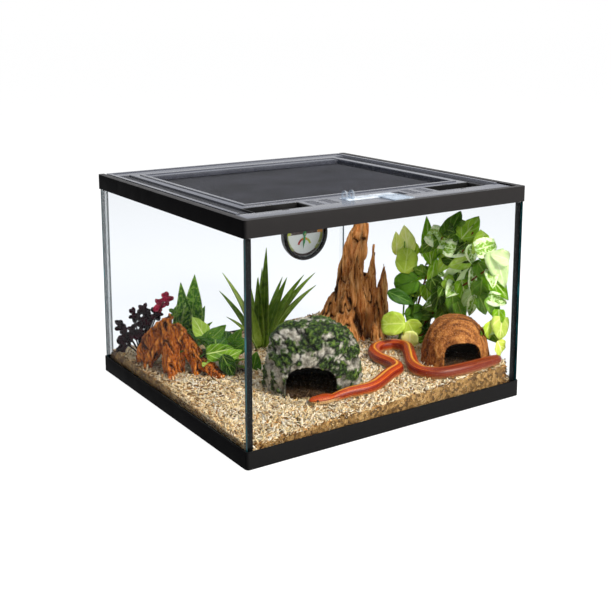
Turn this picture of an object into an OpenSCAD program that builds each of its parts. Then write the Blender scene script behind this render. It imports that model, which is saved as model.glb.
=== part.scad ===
// Reptile terrarium: a glass tank in two black frames, with a sliding screen
// lid, a latch, two lift-out trays, a dial gauge, bedding, hides, wood and plants.
// The origin is at the middle of the underside, +Z is up and the front faces -Y.

/* [Tank] */
// Width over the frames, left to right
tank_w = 460; // [450:1:500]
// Depth over the frames, front to back
tank_d = 440; // [430:1:480]
// Height from the table to the top of the lid
tank_h = 310; // [300:1:350]
// Thickness of every pane
glass_t = 4; // [3:0.1:5]
// Silicone between a side pane's end and the front or back pane
bond_t = 0.8; // [0.5:0.1:1.2]
// Leg of the silicone fillets in the corners
fillet_leg = 6; // [4:0.5:7]

/* [Frames] */
// Height of the lower frame's skirt
base_skirt = 23; // [20:0.5:26]
// Height of the upper frame's skirt
top_skirt = 22; // [20:0.5:26]
// Wall of both skirts
skirt_wall = 2.5; // [2:0.1:3]
// Gap between a skirt and the glass
glass_gap = 0.3; // [0.2:0.05:0.5]
// Radius of the frames' upright corners
corner_r = 5; // [3:0.5:6]
// Height of the ledge under the bottom pane
base_ledge_z = 7; // [5:0.5:9]
// Thickness of the ledge under the bottom pane
base_ledge_t = 3; // [2.5:0.1:4]
// Width of the ledge under the bottom pane
base_ledge_w = 22; // [18:0.5:28]
// Thickness of the runner that carries the lid
runner_t = 4; // [3:0.1:5]
// Width of the runner, from the outside of the frame
runner_w = 25; // [23:0.5:28]
// Wall of the inner flange that holds the glass
flange_t = 2.4; // [2:0.1:3]

/* [Lid] */
// Width of the frame's rim beside the lid
rim_w = 10; // [9:0.5:11]
// Thickness of the rim over the lid's tongues
rim_t = 4; // [3:0.1:5]
// Gap between the rim and the lid
lid_gap = 3; // [2:0.1:4]
// Running clearance of the lid in its channels
lid_run = 0.3; // [0.2:0.05:0.5]
// How far the lid's tongues reach under the rim
tongue_reach = 3.5; // [2.5:0.1:4]
// Thickness of the lid's tongues
tongue_t = 5; // [4:0.1:6]
// Height from the lid's underside to its main face
lid_t = 10.2; // [9.5:0.1:11]
// Height of the ridges above the main face
ridge_h = 1.5; // [1:0.1:2]
// Width of the ridge at the lid's edge and round the screen
ridge_w = 5.5; // [4:0.1:7]
// Depth of the grip channels below the main face
channel_depth = 2.5; // [1.5:0.1:3.5]
// Width of the grip channels
channel_w = 20; // [16:0.5:21]
// Width of the lid's side and rear bars
side_bar = 44; // [42:0.5:50]
// Depth of the lid's front bar, front to back
front_bar = 81; // [78:0.5:90]
// Depth of the lid's rear bar, front to back
rear_bar = 58; // [50:0.5:66]
// Radius of the screen opening's corners
window_r = 5; // [3:0.5:8]

/* [Screen] */
// Thickness of the screen cloth
screen_t = 0.8; // [0.6:0.1:1.2]
// Width of the screen's border under the lid
screen_border = 8; // [6:0.5:10]
// Thickness of the ring that holds the screen
retainer_t = 2; // [1.6:0.1:2.4]
// Clearance round the screen and its ring
screen_gap = 0.3; // [0.2:0.05:0.5]

/* [Trays] */
// Length of a tray's well, left to right
well_l = 85; // [70:1:88]
// Width of a tray's well, front to back
well_w = 36; // [30:1:40]
// Distance of a well's middle from the lid's middle
well_x = 147.5; // [145:0.5:150]
// Distance of the wells' middle from the front of the frame
well_y = 60; // [58:0.5:63]
// Clearance round a tray
tray_gap = 0.5; // [0.3:0.1:0.8]
// Wall and floor of a tray
tray_wall = 1.6; // [1.2:0.1:2]
// Width of the lug in the middle of a tray's long side
lug_w = 9; // [6:0.5:12]
// How far a lug reaches beyond the well
lug_reach = 3; // [2:0.5:4]
// Gap under a tray's lugs
tray_seat = 0.3; // [0.2:0.05:0.4]

/* [Latch] */
// Length of the clear latch slide
latch_l = 85; // [80:1:88]
// Width of the latch slide, front to back
latch_w = 23; // [20:0.5:26]
// Thickness of the latch slide
latch_t = 3; // [2.5:0.1:3.5]
// Travel of the latch from open to locked
latch_travel = 9; // [8:0.5:10]
// Running clearance of the latch
latch_run = 0.35; // [0.25:0.05:0.5]
// Width of the latch's locking peg
peg_w = 7; // [6:0.5:8]
// Depth of the keeper's hook, front to back
hook_d = 6; // [5:0.5:8]
// Free play between the peg and the hook
peg_play = 2; // [1.5:0.1:3]
// Outer radius of the latch's finger loops
loop_r = 6; // [5:0.5:7]
// Wall of the finger loops
loop_wall = 2.4; // [2:0.1:3]
// Distance between the two finger loops
loop_pitch = 11; // [9:0.5:13]
// Length of the latch's thumb plate, left to right
thumb_l = 34; // [28:1:40]
// Thickness of the thumb plate
thumb_t = 1.5; // [1.2:0.1:2]

/* [Gauge] */
// Radius of the gauge over its bezel
gauge_r = 45; // [38:0.5:48]
// Depth of the gauge's case
gauge_depth = 15; // [13:0.5:18]
// Height of the gauge's middle
gauge_z = 177; // [150:1:200]
// Distance of the gauge's middle from the tank's right side
gauge_side = 94; // [80:1:110]
// Wall of the case
case_wall = 2.4; // [2:0.1:3]
// Thickness of the foam pad behind the gauge
pad_t = 1.6; // [1:0.1:3]
// Length of the bezel along the case
bezel_l = 8; // [7:0.5:9]
// Thickness of the bezel's lip over the lens
bezel_lip = 1.4; // [1.1:0.1:1.8]
// Fit of the bezel on the case and the lens
bezel_fit = 0.05; // [0.03:0.01:0.1]
// Thickness of the clear lens
lens_t = 1.5; // [1.2:0.1:2]
// Thickness of the dial plate
dial_t = 0.8; // [0.6:0.1:1.2]
// Radius of the spindle
spindle_r = 1.2; // [1:0.1:1.5]
// Clearance of the hands on the spindle
hand_run = 0.06; // [0.03:0.01:0.1]
// Thickness of a hand
hand_t = 0.8; // [0.6:0.1:1]
// Reach of the temperature hand
hand_reach = 33; // [25:0.5:35]
// Reach of the humidity hand
short_reach = 24; // [18:0.5:26]

/* [Bedding] */
// Depth of the bedding over the bottom pane at the front left corner
bed_depth = 11; // [9:0.5:14]
// Rise of the bedding to the front right corner
bed_rise_right = 23; // [18:0.5:26]
// Rise of the bedding to the back left corner
bed_rise_back = 11; // [8:0.5:14]
// Rise of the bedding to the back right corner
bed_rise_corner = 6; // [4:0.5:10]
// Depth of the hollow in the bedding at the back
bed_hollow = 15; // [12:0.5:16]
// Height of the bedding's small lumps
bed_lump = 0.8; // [0.4:0.1:1.2]
// Gap between the bedding and the glass
bed_gap = 0.4; // [0.3:0.1:1]
// How far hides, wood and pots are pushed into the bedding
bedding_in = 7; // [6:0.5:8]

/* [Hides] */
// Turn of the hides towards the front left corner
hide_turn = -34; // [-40:1:-28]
// Half the width of the rock hide
rock_rx = 69; // [64:1:72]
// Half the depth of the rock hide
rock_ry = 54; // [50:1:57]
// Height of the rock hide over the bedding
rock_h = 98; // [90:1:105]
// Wall of the rock hide
rock_wall = 9; // [7:0.5:12]
// Width of the rock hide's mouth
mouth_w = 70; // [60:1:74]
// Height of the rock hide's mouth over the bedding
mouth_h = 45; // [38:1:48]
// Half the width of the bark hide
bark_rx = 50; // [46:1:52]
// Half the depth of the bark hide
bark_ry = 41; // [38:1:43]
// Height of the bark hide over the bedding
bark_h = 70; // [64:1:76]
// Wall of the bark hide
bark_wall = 7; // [6:0.5:9]
// Width of the bark hide's mouth
door_w = 54; // [46:1:58]
// Height of the bark hide's mouth over the bedding
door_h = 38; // [32:1:42]

/* [Plants and wood] */
// Height of the tall driftwood over the bedding
wood_h = 205; // [180:1:212]
// Length of the longest blade of the spiky plant
blade_l = 165; // [140:1:175]
// Thickness of the leaves
leaf_t = 1.2; // [1:0.1:1.6]
// Radius of the plants' stems
stem_r = 1.8; // [1.5:0.1:2.4]

/* [Snake] */
// Radius of the snake's body
snake_r = 9; // [8:0.1:9.5]

/* [Hidden] */
$fn = 48;
CLOSE = 0.01;
BIG = 1000;

half_w = tank_w / 2;
half_d = tank_d / 2;

// Glass, measured to the outer and inner faces of the panes
glass_out_x = half_w - skirt_wall - glass_gap;
glass_out_y = half_d - skirt_wall - glass_gap;
glass_in_x = glass_out_x - glass_t;
glass_in_y = glass_out_y - glass_t;
floor_z = base_ledge_z + base_ledge_t;
pane_z = floor_z + glass_t;
lid_z = tank_h - lid_t - ridge_h;
runner_z = lid_z - lid_run - runner_t;
pane_h = runner_z - pane_z;

// Lid, measured to its sides
lid_half = half_w - rim_w - lid_gap;
lid_front = -half_d + rim_w + lid_gap + 1;
lid_back = half_d - 1;
tongue_half = lid_half + lid_gap + tongue_reach;
tongue_front = lid_front - lid_gap - 1 - tongue_reach;
lid_top = lid_z + lid_t;
window_half = lid_half - side_bar;
window_front = lid_front + front_bar;
window_back = lid_back - rear_bar;
rebate_half = window_half + screen_border;
rebate_front = window_front - screen_border;
rebate_back = window_back + screen_border;
rebate_h = retainer_t + screen_t + 2 * screen_gap;

// Middles of the ribbed pads, from the lid's middle
pad_places = [68, 91];

// Latch and keeper
latch_x = -3.5;
latch_y = -half_d + well_y - 2.5;
latch_z = tank_h - latch_t - 1;
recess_end = 6;
latch_floor_t = 2.5;
latch_floor_z = latch_z - latch_run - latch_floor_t;
peg_x = latch_x + latch_l / 2 - 22;
peg_y = latch_y - 5;
peg_d = peg_w;
hook_x = peg_x + latch_travel;
hook_y = peg_y + peg_d / 2 + peg_play + hook_d / 2;
hook_w = peg_w + 1;
slot_half = hook_w / 2 + 1;
hook_top = latch_floor_z - 1;
peg_bottom = lid_z + 1;

// Gauge, along the y axis from the back pane forwards
pad_y = glass_in_y;
case_y = pad_y - pad_t;
case_r = gauge_r - 2;
case_in_r = case_r - case_wall;
case_l = gauge_depth - bezel_lip - lens_t - 2 * bezel_fit;
dial_y = case_y - gauge_depth * 0.45;
hand_gap = 0.5;
low_hand_y = dial_y - dial_t - hand_gap - hand_t;
top_hand_y = low_hand_y - hand_gap - hand_t;

// Bedding
bed_x = glass_in_x - bed_gap;
bed_y = glass_in_y - bed_gap;
bed_steps = 22;
function mix(a, b, t) = a + (b - a) * t;
// Height of the bedding's surface at a place on the floor
function bed_z(x, y) =
  let (u = (x / bed_x + 1) / 2, v = (y / bed_y + 1) / 2,
       front = mix(0, bed_rise_right, u), back = mix(bed_rise_back, bed_rise_corner, u))
  pane_z + bed_depth + mix(front, back, v) - bed_hollow * v * v * 4 * u * (1 - u)
  + bed_lump * sin(u * 1500) * cos(v * 1300);

// Places of the furnishings on the bedding, from the tank's middle and walls
rock_at = [-52, -96];
bark_at = [glass_in_x - 55, -glass_in_y + 64];
wood_at = [112, 48];
spiky_at = [-15, 104];
root_at = [-glass_in_x + 46, 78];
vine_at = bark_at + [3, 115.2];
broad_at = root_at + [75.2, -46];
burgundy_at = [-glass_in_x + 32, glass_in_y - 41.2];
variegated_at = [-glass_in_x + 88, 112];

function unit(v) = v / norm(v);

// A point on the smooth curve through a list of points
function curve_point(p, t) =
  let (last = len(p) - 1, i = min(floor(t), last - 1), f = t - i,
       a = p[max(i - 1, 0)], b = p[i], c = p[i + 1], d = p[min(i + 2, last)])
  0.5 * (2 * b + (c - a) * f + (2 * a - 5 * b + 4 * c - d) * f * f
         + (3 * b - 3 * c + d - a) * f * f * f);

// Tube along a list of [x, y, z, radius] points, ridged like wood where ridge is over 0
module tube(route, rings, sides, guide = [0, 0, 1], flat = 1, ridge = 0, ridges = 5) {
  last = len(route) - 1;
  knots = [for (i = [0 : rings]) curve_point(route, last * i / rings)];
  places = [for (k = knots) [k[0], k[1], k[2]]];
  points = [for (i = [0 : rings])
    let (ahead = places[min(i + 1, rings)] - places[max(i - 1, 0)],
         side = unit(cross(ahead, guide)), up = unit(cross(side, ahead)))
    for (j = [0 : sides - 1])
      let (a = 360 * j / sides, r = knots[i][3] * (1 + ridge * cos(ridges * a + 40 * i)))
      places[i] + side * (r * cos(a)) + up * (r * flat * sin(a))];
  walls = [for (i = [0 : rings - 1]) for (j = [0 : sides - 1])
    let (k = (j + 1) % sides, a = i * sides + j, b = i * sides + k)
    each [[a, b, b + sides], [a, b + sides, a + sides]]];
  start = [for (j = [sides - 1 : -1 : 0]) j];
  finish = [for (j = [0 : sides - 1]) rings * sides + j];
  polyhedron(points, concat(walls, [start, finish]), convexity = 8);
}

// Dome with a flat foot: half widths rx and ry, height h, and lumps of a share of its size
module dome(rx, ry, h, around, levels, lump, squareness = 0.7, foot = 0) {
  function swell(a, e) = 1 + lump * (sin(3 * a + 40) * cos(2 * e) + 0.6 * sin(5 * a + 3 * e));
  rows = [for (i = [0 : levels - 1]) 90 * i / levels];
  points = concat(
    [for (a = [0 : 360 / around : 359.9]) [rx * swell(a, 0) * cos(a), ry * swell(a, 0) * sin(a), -foot]],
    [for (e = rows) for (a = [0 : 360 / around : 359.9])
      let (s = pow(cos(e), squareness) * swell(a, e), z = h * pow(sin(e), squareness + 0.15))
      [rx * s * cos(a), ry * s * sin(a), z]],
    [[0, 0, h]]);
  walls = [for (i = [0 : levels - 1]) for (j = [0 : around - 1])
    let (k = (j + 1) % around, a = i * around + j, b = i * around + k)
    each [[a, a + around, b + around], [a, b + around, b]]];
  top = len(points) - 1;
  crown = [for (j = [0 : around - 1]) [levels * around + j, top, levels * around + (j + 1) % around]];
  base = [for (j = [0 : around - 1]) j];
  polyhedron(points, concat(walls, crown, [base]), convexity = 4);
}

// Leaf along +X from its stalk: a bent blade with a raised midrib
module leaf(length, width, bend = 20, tip = 1, sag = 0) {
  steps = 3;
  function half(t) = width / 2 * pow(sin(180 * pow(t, tip)), 0.75) + 0.3;
  function rise(t) = sin(bend) * length * t * (1 - t) * 1.4 - sag * length * t * t;
  rails = [for (i = [0 : steps]) let (t = mix(0.01, 0.99, i / steps)) [length * i / steps, half(t), rise(i / steps)]];
  points = [for (side = [0, 1]) for (r = rails) for (s = [-1, 0, 1])
    [r[0], s * r[1], r[2] - side * leaf_t + (s == 0 ? -0.12 * r[1] : 0)]];
  n = (steps + 1) * 3;
  upper = [for (i = [0 : steps - 1]) for (s = [0, 1])
    let (a = i * 3 + s) each [[a, a + 1, a + 4], [a, a + 4, a + 3]]];
  lower = [for (f = upper) [f[0] + n, f[2] + n, f[1] + n]];
  edges = [for (i = [0 : steps - 1]) for (s = [0, 2])
    let (a = i * 3 + s, b = a + 3)
    each (s == 0 ? [[a, b, b + n], [a, b + n, a + n]] : [[b, a, a + n], [b, a + n, b + n]])];
  ends = [for (s = [0, 1]) let (a = s, b = steps * 3 + s)
    each [[a + 1, a, a + n], [a + 1, a + n, a + 1 + n], [b, b + 1, b + 1 + n], [b, b + 1 + n, b + n]]];
  polyhedron(points, concat(upper, lower, edges, ends), convexity = 4);
}

// Straight round stem between two points
module stem(a, b, r = stem_r) {
  hull() {
    translate(a) sphere(r, $fn = 5);
    translate(b) sphere(r, $fn = 5);
  }
}

module rounded(w, d, r) {
  square([w - 2 * r, d], center = true);
  square([w, d - 2 * r], center = true);
  for (x = [-1, 1], y = [-1, 1]) translate([x * (w / 2 - r), y * (d / 2 - r)]) circle(r);
}

// Upright ring from z up by h, rounded outside and nearly square inside, as the glass needs
module ring(w, d, r, wall, z, h) {
  translate([0, 0, z]) linear_extrude(h) difference() {
    rounded(w, d, r);
    rounded(w - 2 * wall, d - 2 * wall, glass_gap);
  }
}

module slab(x0, x1, y0, y1, z0, z1) {
  translate([x0, y0, z0]) cube([x1 - x0, y1 - y0, z1 - z0]);
}

module bottom_frame() {
  color("#262627") {
    ring(tank_w, tank_d, corner_r, skirt_wall, 0, base_skirt);
    ring(tank_w - skirt_wall, tank_d - skirt_wall, corner_r - skirt_wall / 2, base_ledge_w,
         base_ledge_z, base_ledge_t);
  }
}

module bottom_pane() {
  color("#bfe0dc", 0.35) slab(-glass_out_x, glass_out_x, -glass_out_y, glass_out_y, floor_z, pane_z);
}

module front_pane() {
  color("#bfe0dc", 0.35) slab(-glass_out_x, glass_out_x, -glass_out_y, -glass_in_y, pane_z, pane_z + pane_h);
}

module back_pane() {
  color("#bfe0dc", 0.35) slab(-glass_out_x, glass_out_x, glass_in_y, glass_out_y, pane_z, pane_z + pane_h);
}

module side_pane(side) {
  end = glass_in_y - bond_t;
  color("#bfe0dc", 0.35) translate([side * (glass_in_x + glass_t / 2), 0, pane_z + pane_h / 2])
    cube([glass_t, 2 * end, pane_h], center = true);
}

module left_pane() side_pane(-1);
module right_pane() side_pane(1);

// Silicone in the four corners: the bond behind each side pane and the fillet inside
module corner_seals() {
  color("#131414") for (x = [0, 1], y = [0, 1]) mirror([x, 0, 0]) mirror([0, y, 0])
    translate([glass_in_x, glass_in_y, pane_z]) linear_extrude(pane_h - 8) difference() {
      union() {
        translate([0, -bond_t]) square([glass_t, bond_t]);
        translate([-fillet_leg, -fillet_leg]) square(fillet_leg);
      }
      translate([-fillet_leg, -fillet_leg]) circle(fillet_leg - 0.6);
      translate([-2 * fillet_leg + 0.6, -fillet_leg]) square([fillet_leg, fillet_leg - 0.6]);
    }
}

// Silicone along the foot of each pane, between the corner fillets
module floor_seals() {
  module bead(length) rotate([90, 0, 0]) translate([0, 0, -length / 2]) linear_extrude(length)
    polygon([[0, 0], [-fillet_leg, 0], [-fillet_leg * 0.3, fillet_leg * 0.3], [0, fillet_leg]]);
  clear = fillet_leg + 1;
  color("#131414") {
    for (s = [0, 1]) mirror([s, 0, 0])
      translate([glass_in_x, 0, pane_z]) bead(2 * (glass_in_y - clear));
    for (s = [-90, 90]) rotate(s)
      translate([glass_in_y, 0, pane_z]) bead(2 * (glass_in_x - clear));
  }
}

module top_frame() {
  skirt_z = tank_h - top_skirt;
  runner_top = runner_z + runner_t;
  rim_z = tank_h - rim_t;
  arm_y = hook_y + hook_d / 2;
  color("#343233") {
    ring(tank_w, tank_d, corner_r, skirt_wall, skirt_z, runner_z - skirt_z);
    ring(2 * (glass_in_x - glass_gap), 2 * (glass_in_y - glass_gap), 1, flange_t, skirt_z, runner_z - skirt_z);
    difference() {
      translate([0, 0, runner_z]) linear_extrude(tank_h - runner_z) rounded(tank_w, tank_d, corner_r);
      slab(-half_w + runner_w, half_w - runner_w, -half_d + runner_w * 0.6, half_d - runner_w * 0.6,
           runner_z - 1, tank_h + 1);
      slab(-tongue_half - 1, tongue_half + 1, tongue_front - 1, half_d + 1, runner_top, rim_z);
      slab(-half_w + rim_w, half_w - rim_w, -half_d + rim_w, half_d + 1, runner_top, tank_h + 1);
    }
    // Keeper: an arm from the front runner with an upright hook
    slab(hook_x - hook_w / 2, hook_x + hook_w / 2, -half_d + runner_w * 0.6 - 1, arm_y, runner_z, runner_top);
    slab(hook_x - hook_w / 2, hook_x + hook_w / 2, arm_y - hook_d, arm_y, runner_top, hook_top);
  }
}

// One grip channel cut in the lid's face, with small cross ribs left in it
module grip_channel(length) {
  depth = channel_depth;
  difference() {
    translate([-channel_w / 2, -length / 2, lid_top - depth]) cube([channel_w, length, depth + ridge_h + 1]);
    for (y = [-length / 2 + 4 : 8 : length / 2 - 4])
      translate([-channel_w / 2 + 2, y - 0.6, lid_top - depth - 1]) cube([channel_w - 4, 1.2, 1.6]);
  }
}

// A ridge that stands on the lid's face round three sides, open at the front
module ridge_u(inset, front) {
  x = lid_half - inset;
  y1 = lid_back - inset;
  for (s = [-1, 1]) slab(s * x - (s > 0 ? ridge_w : 0), s * x + (s > 0 ? 0 : ridge_w), front, y1,
                         lid_top - CLOSE, lid_top + ridge_h);
  slab(-x, x, y1 - ridge_w, y1, lid_top - CLOSE, lid_top + ridge_h);
}

module lid_frame() {
  channel_x = lid_half - ridge_w - 2 - channel_w / 2;
  channel_front = lid_front + 30;
  channel_len = lid_back - 26 - channel_front;
  well_mid = -half_d + well_y;
  pad_w = 14;
  color("#3d3d40") difference() {
    union() {
      translate([0, (lid_front + lid_back) / 2, lid_z]) linear_extrude(lid_t)
        rounded(2 * lid_half, lid_back - lid_front, corner_r);
      slab(-tongue_half, tongue_half, tongue_front, lid_back, lid_z, lid_z + tongue_t);
      ridge_u(0.8, channel_front);
      ridge_u(side_bar - ridge_w, window_front - ridge_w);
      slab(-window_half - ridge_w, window_half + ridge_w, window_front - ridge_w, window_front,
           lid_top - CLOSE, lid_top + ridge_h);
    }
    // Screen opening, and the rebate that takes the screen and its ring
    translate([0, (window_front + window_back) / 2, lid_z - 1]) linear_extrude(BIG)
      rounded(2 * window_half, window_back - window_front, window_r);
    slab(-rebate_half, rebate_half, rebate_front, rebate_back, lid_z - 1, lid_z + rebate_h);
    // Grip channels along both sides
    for (s = [-1, 1]) translate([s * channel_x, channel_front + channel_len / 2, 0]) grip_channel(channel_len);
    // Wells for the trays, with a notch at each lug
    for (s = [-1, 1]) {
      slab(s * well_x - well_l / 2, s * well_x + well_l / 2, well_mid - well_w / 2, well_mid + well_w / 2,
           lid_z - 1, tank_h + 1);
      slab(s * well_x - lug_w / 2 - tray_gap, s * well_x + lug_w / 2 + tray_gap,
           well_mid - well_w / 2 - lug_reach - tray_gap, well_mid + well_w / 2 + lug_reach + tray_gap,
           lid_top - tray_wall - tray_seat, tank_h + 1);
    }
    // Ribbed pads between the wells and the latch
    for (s = [-1, 1], x = pad_places) for (i = [-2 : 2])
      slab(s * x - pad_w / 2, s * x + pad_w / 2, well_mid + 6.4 * i - 2.2, well_mid + 6.4 * i + 2.2,
           lid_top - 1.2, tank_h + 1);
    // Recess of the latch, the peg's pocket and the hook's way out to the front
    slab(latch_x - latch_l / 2 - 1, latch_x + latch_l / 2 + latch_travel + recess_end,
         latch_y - latch_w / 2 - latch_run, latch_y + latch_w / 2 + latch_run, latch_floor_z + latch_floor_t, tank_h + 1);
    slab(peg_x - peg_w / 2 - 1, hook_x + peg_w / 2 + 1, peg_y - peg_d / 2 - 1, peg_y + peg_d / 2 + 1, lid_z - 1, tank_h + 1);
    slab(hook_x - slot_half, hook_x + slot_half, tongue_front - 1, hook_y + hook_d / 2 + 1, lid_z - 1, latch_floor_z);
  }
}

module mesh_screen() {
  z = lid_z + rebate_h - screen_t - screen_gap / 2;
  color("#4b4b50") slab(-rebate_half + screen_gap, rebate_half - screen_gap,
    rebate_front + screen_gap, rebate_back - screen_gap, z, z + screen_t);
}

module screen_retainer() {
  z = lid_z + rebate_h - screen_t - screen_gap / 2 - retainer_t;
  wall = screen_border - screen_gap;
  color("#26262a") translate([0, (window_front + window_back) / 2, 0])
    ring(2 * rebate_half - 2 * screen_gap, rebate_back - rebate_front - 2 * screen_gap, 1, wall, z, retainer_t);
}

module port_tray(side) {
  l = well_l - 2 * tray_gap;
  w = well_w - 2 * tray_gap;
  top = lid_top;
  y = -half_d + well_y;
  color("#101113") translate([side * well_x, y, 0]) difference() {
    union() {
      slab(-l / 2, l / 2, -w / 2, w / 2, lid_z + lid_run, top);
      slab(-lug_w / 2, lug_w / 2, -w / 2 - lug_reach, w / 2 + lug_reach, top - tray_wall, top);
    }
    slab(-l / 2 + tray_wall, l / 2 - tray_wall, -w / 2 + tray_wall, w / 2 - tray_wall,
         lid_z + lid_run + tray_wall, top + 1);
  }
}

module left_port_tray() port_tray(-1);
module right_port_tray() port_tray(1);

// Clear slide with a peg below and two finger loops at its left end
module latch_slide() {
  loop_x = latch_x - latch_l / 2 + 1.5;
  color("#d9e2ec", 0.5) {
    slab(latch_x - latch_l / 2, latch_x + latch_l / 2, latch_y - latch_w / 2, latch_y + latch_w / 2,
         latch_z, latch_z + latch_t);
    slab(peg_x - peg_w / 2, peg_x + peg_w / 2, peg_y - peg_d / 2, peg_y + peg_d / 2, peg_bottom, latch_z + 1);
    // Thumb plate that reaches forward over the lid's front bar
    slab(latch_x + latch_l / 2 - thumb_l, latch_x + latch_l / 2, lid_front + 1, latch_y - latch_w / 2 + 4,
         lid_top + latch_run, lid_top + latch_run + thumb_t);
    for (x = [0, loop_pitch]) translate([loop_x + x, latch_y, latch_z + latch_t - 0.4]) rotate([0, 90, 0])
      linear_extrude(loop_wall, center = true) difference() {
        union() {
          translate([-loop_r, 0]) circle(loop_r);
          translate([-loop_r, -loop_r]) square([loop_r, 2 * loop_r]);
        }
        translate([-loop_r, 0]) circle(loop_r - loop_wall);
      }
  }
}

// Turns a shape drawn round +Z so that it faces the front, at a place along y
module facing(y) translate([half_w - gauge_side, y, gauge_z]) rotate([90, 0, 0]) children();

module gauge_pad() {
  color("#e8e8e4") facing(pad_y) cylinder(pad_t, r = case_r * 0.6);
}

module gauge_case() {
  color("#17181a") facing(case_y) difference() {
    cylinder(case_l, r = case_r);
    translate([0, 0, case_wall]) cylinder(gauge_depth, r = case_in_r);
    translate([0, 0, -1]) cylinder(case_wall + 2, r = spindle_r);
  }
}

module gauge_dial() {
  color("#dfe3e2") facing(dial_y) difference() {
    cylinder(dial_t, r = case_in_r - 0.3);
    translate([0, 0, -1]) cylinder(dial_t + 2, r = spindle_r + 0.1);
  }
}

// Bezel: a ring round the case's mouth that holds the lens
module gauge_bezel() {
  bore = case_r + bezel_fit;
  lip = case_in_r - 2;
  seat = bezel_l - bezel_lip;
  color("#0d0e10") facing(case_y - gauge_depth + bezel_l) rotate_extrude()
    polygon([[bore, 0], [gauge_r, 0], [gauge_r, bezel_l - 1.6], [gauge_r - 1.6, bezel_l],
             [lip + 0.8, bezel_l], [lip, bezel_l - 0.6], [lip, seat], [bore, seat]]);
}

module gauge_lens() {
  color("#eef4f6", 0.3) facing(case_y - case_l - bezel_fit) cylinder(lens_t, r = case_r - 0.2);
}

module gauge_spindle() {
  color("#b9a05c") facing(case_y) cylinder(case_y - top_hand_y + 0.6, r = spindle_r - 0.001);
}

// Flat spiral strip that turns a hand
module coil(y, r0, r1, turns) {
  steps = turns * 18;
  inner = [for (i = [0 : steps]) let (a = 20 * i, r = mix(r0, r1, i / steps)) r * [cos(a), sin(a)]];
  outer = [for (i = [steps : -1 : 0]) let (a = 20 * i, r = mix(r0, r1, i / steps) + 0.5) r * [cos(a), sin(a)]];
  facing(y) linear_extrude(1.6) polygon(concat(inner, outer));
}

module temperature_coil() color("#b08a4a") coil(case_y - case_wall, spindle_r + 0.05, 9, 4);
module humidity_coil() color("#8f8f8a") coil(case_y - case_wall - 2, spindle_r + 0.05, 12, 4);

// Hand with a round hub, a tapered arm and a short tail, pointing up or down
module hand(y, reach, turn, hub) {
  facing(y) rotate(turn) linear_extrude(hand_t) difference() {
    union() {
      circle(hub);
      polygon([[-1.6, -9], [1.6, -9], [1.1, 0], [2.2, reach * 0.45], [0, reach], [-2.2, reach * 0.45], [-1.1, 0]]);
    }
    circle(spindle_r + hand_run);
  }
}

module temperature_hand() color("#178a4c") hand(low_hand_y + hand_t, hand_reach, 0, 3.2);
module humidity_hand() color("#178a4c") hand(top_hand_y + hand_t, short_reach, 172, 3);

module substrate() {
  n = bed_steps;
  m = n + 1;
  foot = fillet_leg + 1;
  // Its corners stand clear of the silicone in the tank's corners
  function inset(i, j) = (i % n == 0 && j % n == 0) ? foot : 0;
  function pulled(v, by) = v - sign(v) * by;
  tops = [for (j = [0 : n]) for (i = [0 : n])
    let (x = pulled(mix(-bed_x, bed_x, i / n), inset(i, j)), y = pulled(mix(-bed_y, bed_y, j / n), inset(i, j)))
    [x, y, bed_z(x, y)]];
  rim = concat([for (i = [0 : n - 1]) i], [for (i = [0 : n - 1]) i * m + n],
               [for (i = [n : -1 : 1]) n * m + i], [for (i = [n : -1 : 1]) i * m]);
  around = len(rim);
  // Below the surface a band along the glass, then a slope over the silicone down to the bottom pane
  band = [for (k = rim) [tops[k][0], tops[k][1], pane_z + foot]];
  base = [for (k = rim) [sign(tops[k][0]) * min(abs(tops[k][0]), bed_x - foot),
                         sign(tops[k][1]) * min(abs(tops[k][1]), bed_y - foot), pane_z]];
  faces = [for (j = [0 : n - 1]) for (i = [0 : n - 1])
    let (a = j * m + i) each [[a, a + m, a + m + 1], [a, a + m + 1, a + 1]]];
  low = m * m;
  walls = [for (k = [0 : around - 1])
    let (q = (k + 1) % around) each [[rim[k], rim[q], low + q], [rim[k], low + q, low + k]]];
  slopes = [for (k = [0 : around - 1])
    let (q = (k + 1) % around, a = low + k, b = low + q)
    each [[a, b, b + around], [a, b + around, a + around]]];
  middle = low + 2 * around;
  underside = [for (k = [0 : around - 1]) [low + around + k, low + around + (k + 1) % around, middle]];
  color("#d9c19a") polyhedron(concat(tops, band, base, [[0, 0, pane_z]]),
                              concat(faces, walls, slopes, underside), convexity = 4);
}

// Puts a furnishing on the bedding at a place, turned, and pushed in a little
module bedded(at, turn = 0) {
  translate([at[0], at[1], bed_z(at[0], at[1])]) rotate(turn) children();
}

// Arch-shaped opening along -Y, w wide and h high: upright jambs under a rounded top
module mouth(w, h, reach) {
  jamb = h * 0.4;
  crown = [for (a = [0 : 15 : 180]) let (c = cos(a))
    [w / 2 * sign(c) * pow(abs(c), 0.8), BIG / 2 + jamb + (h - jamb) * pow(sin(a), 0.8)]];
  translate([0, 0, -BIG / 2]) rotate([90, 0, 0]) linear_extrude(reach)
    polygon(concat([[-w / 2, 0], [w / 2, 0]], crown));
}

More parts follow.
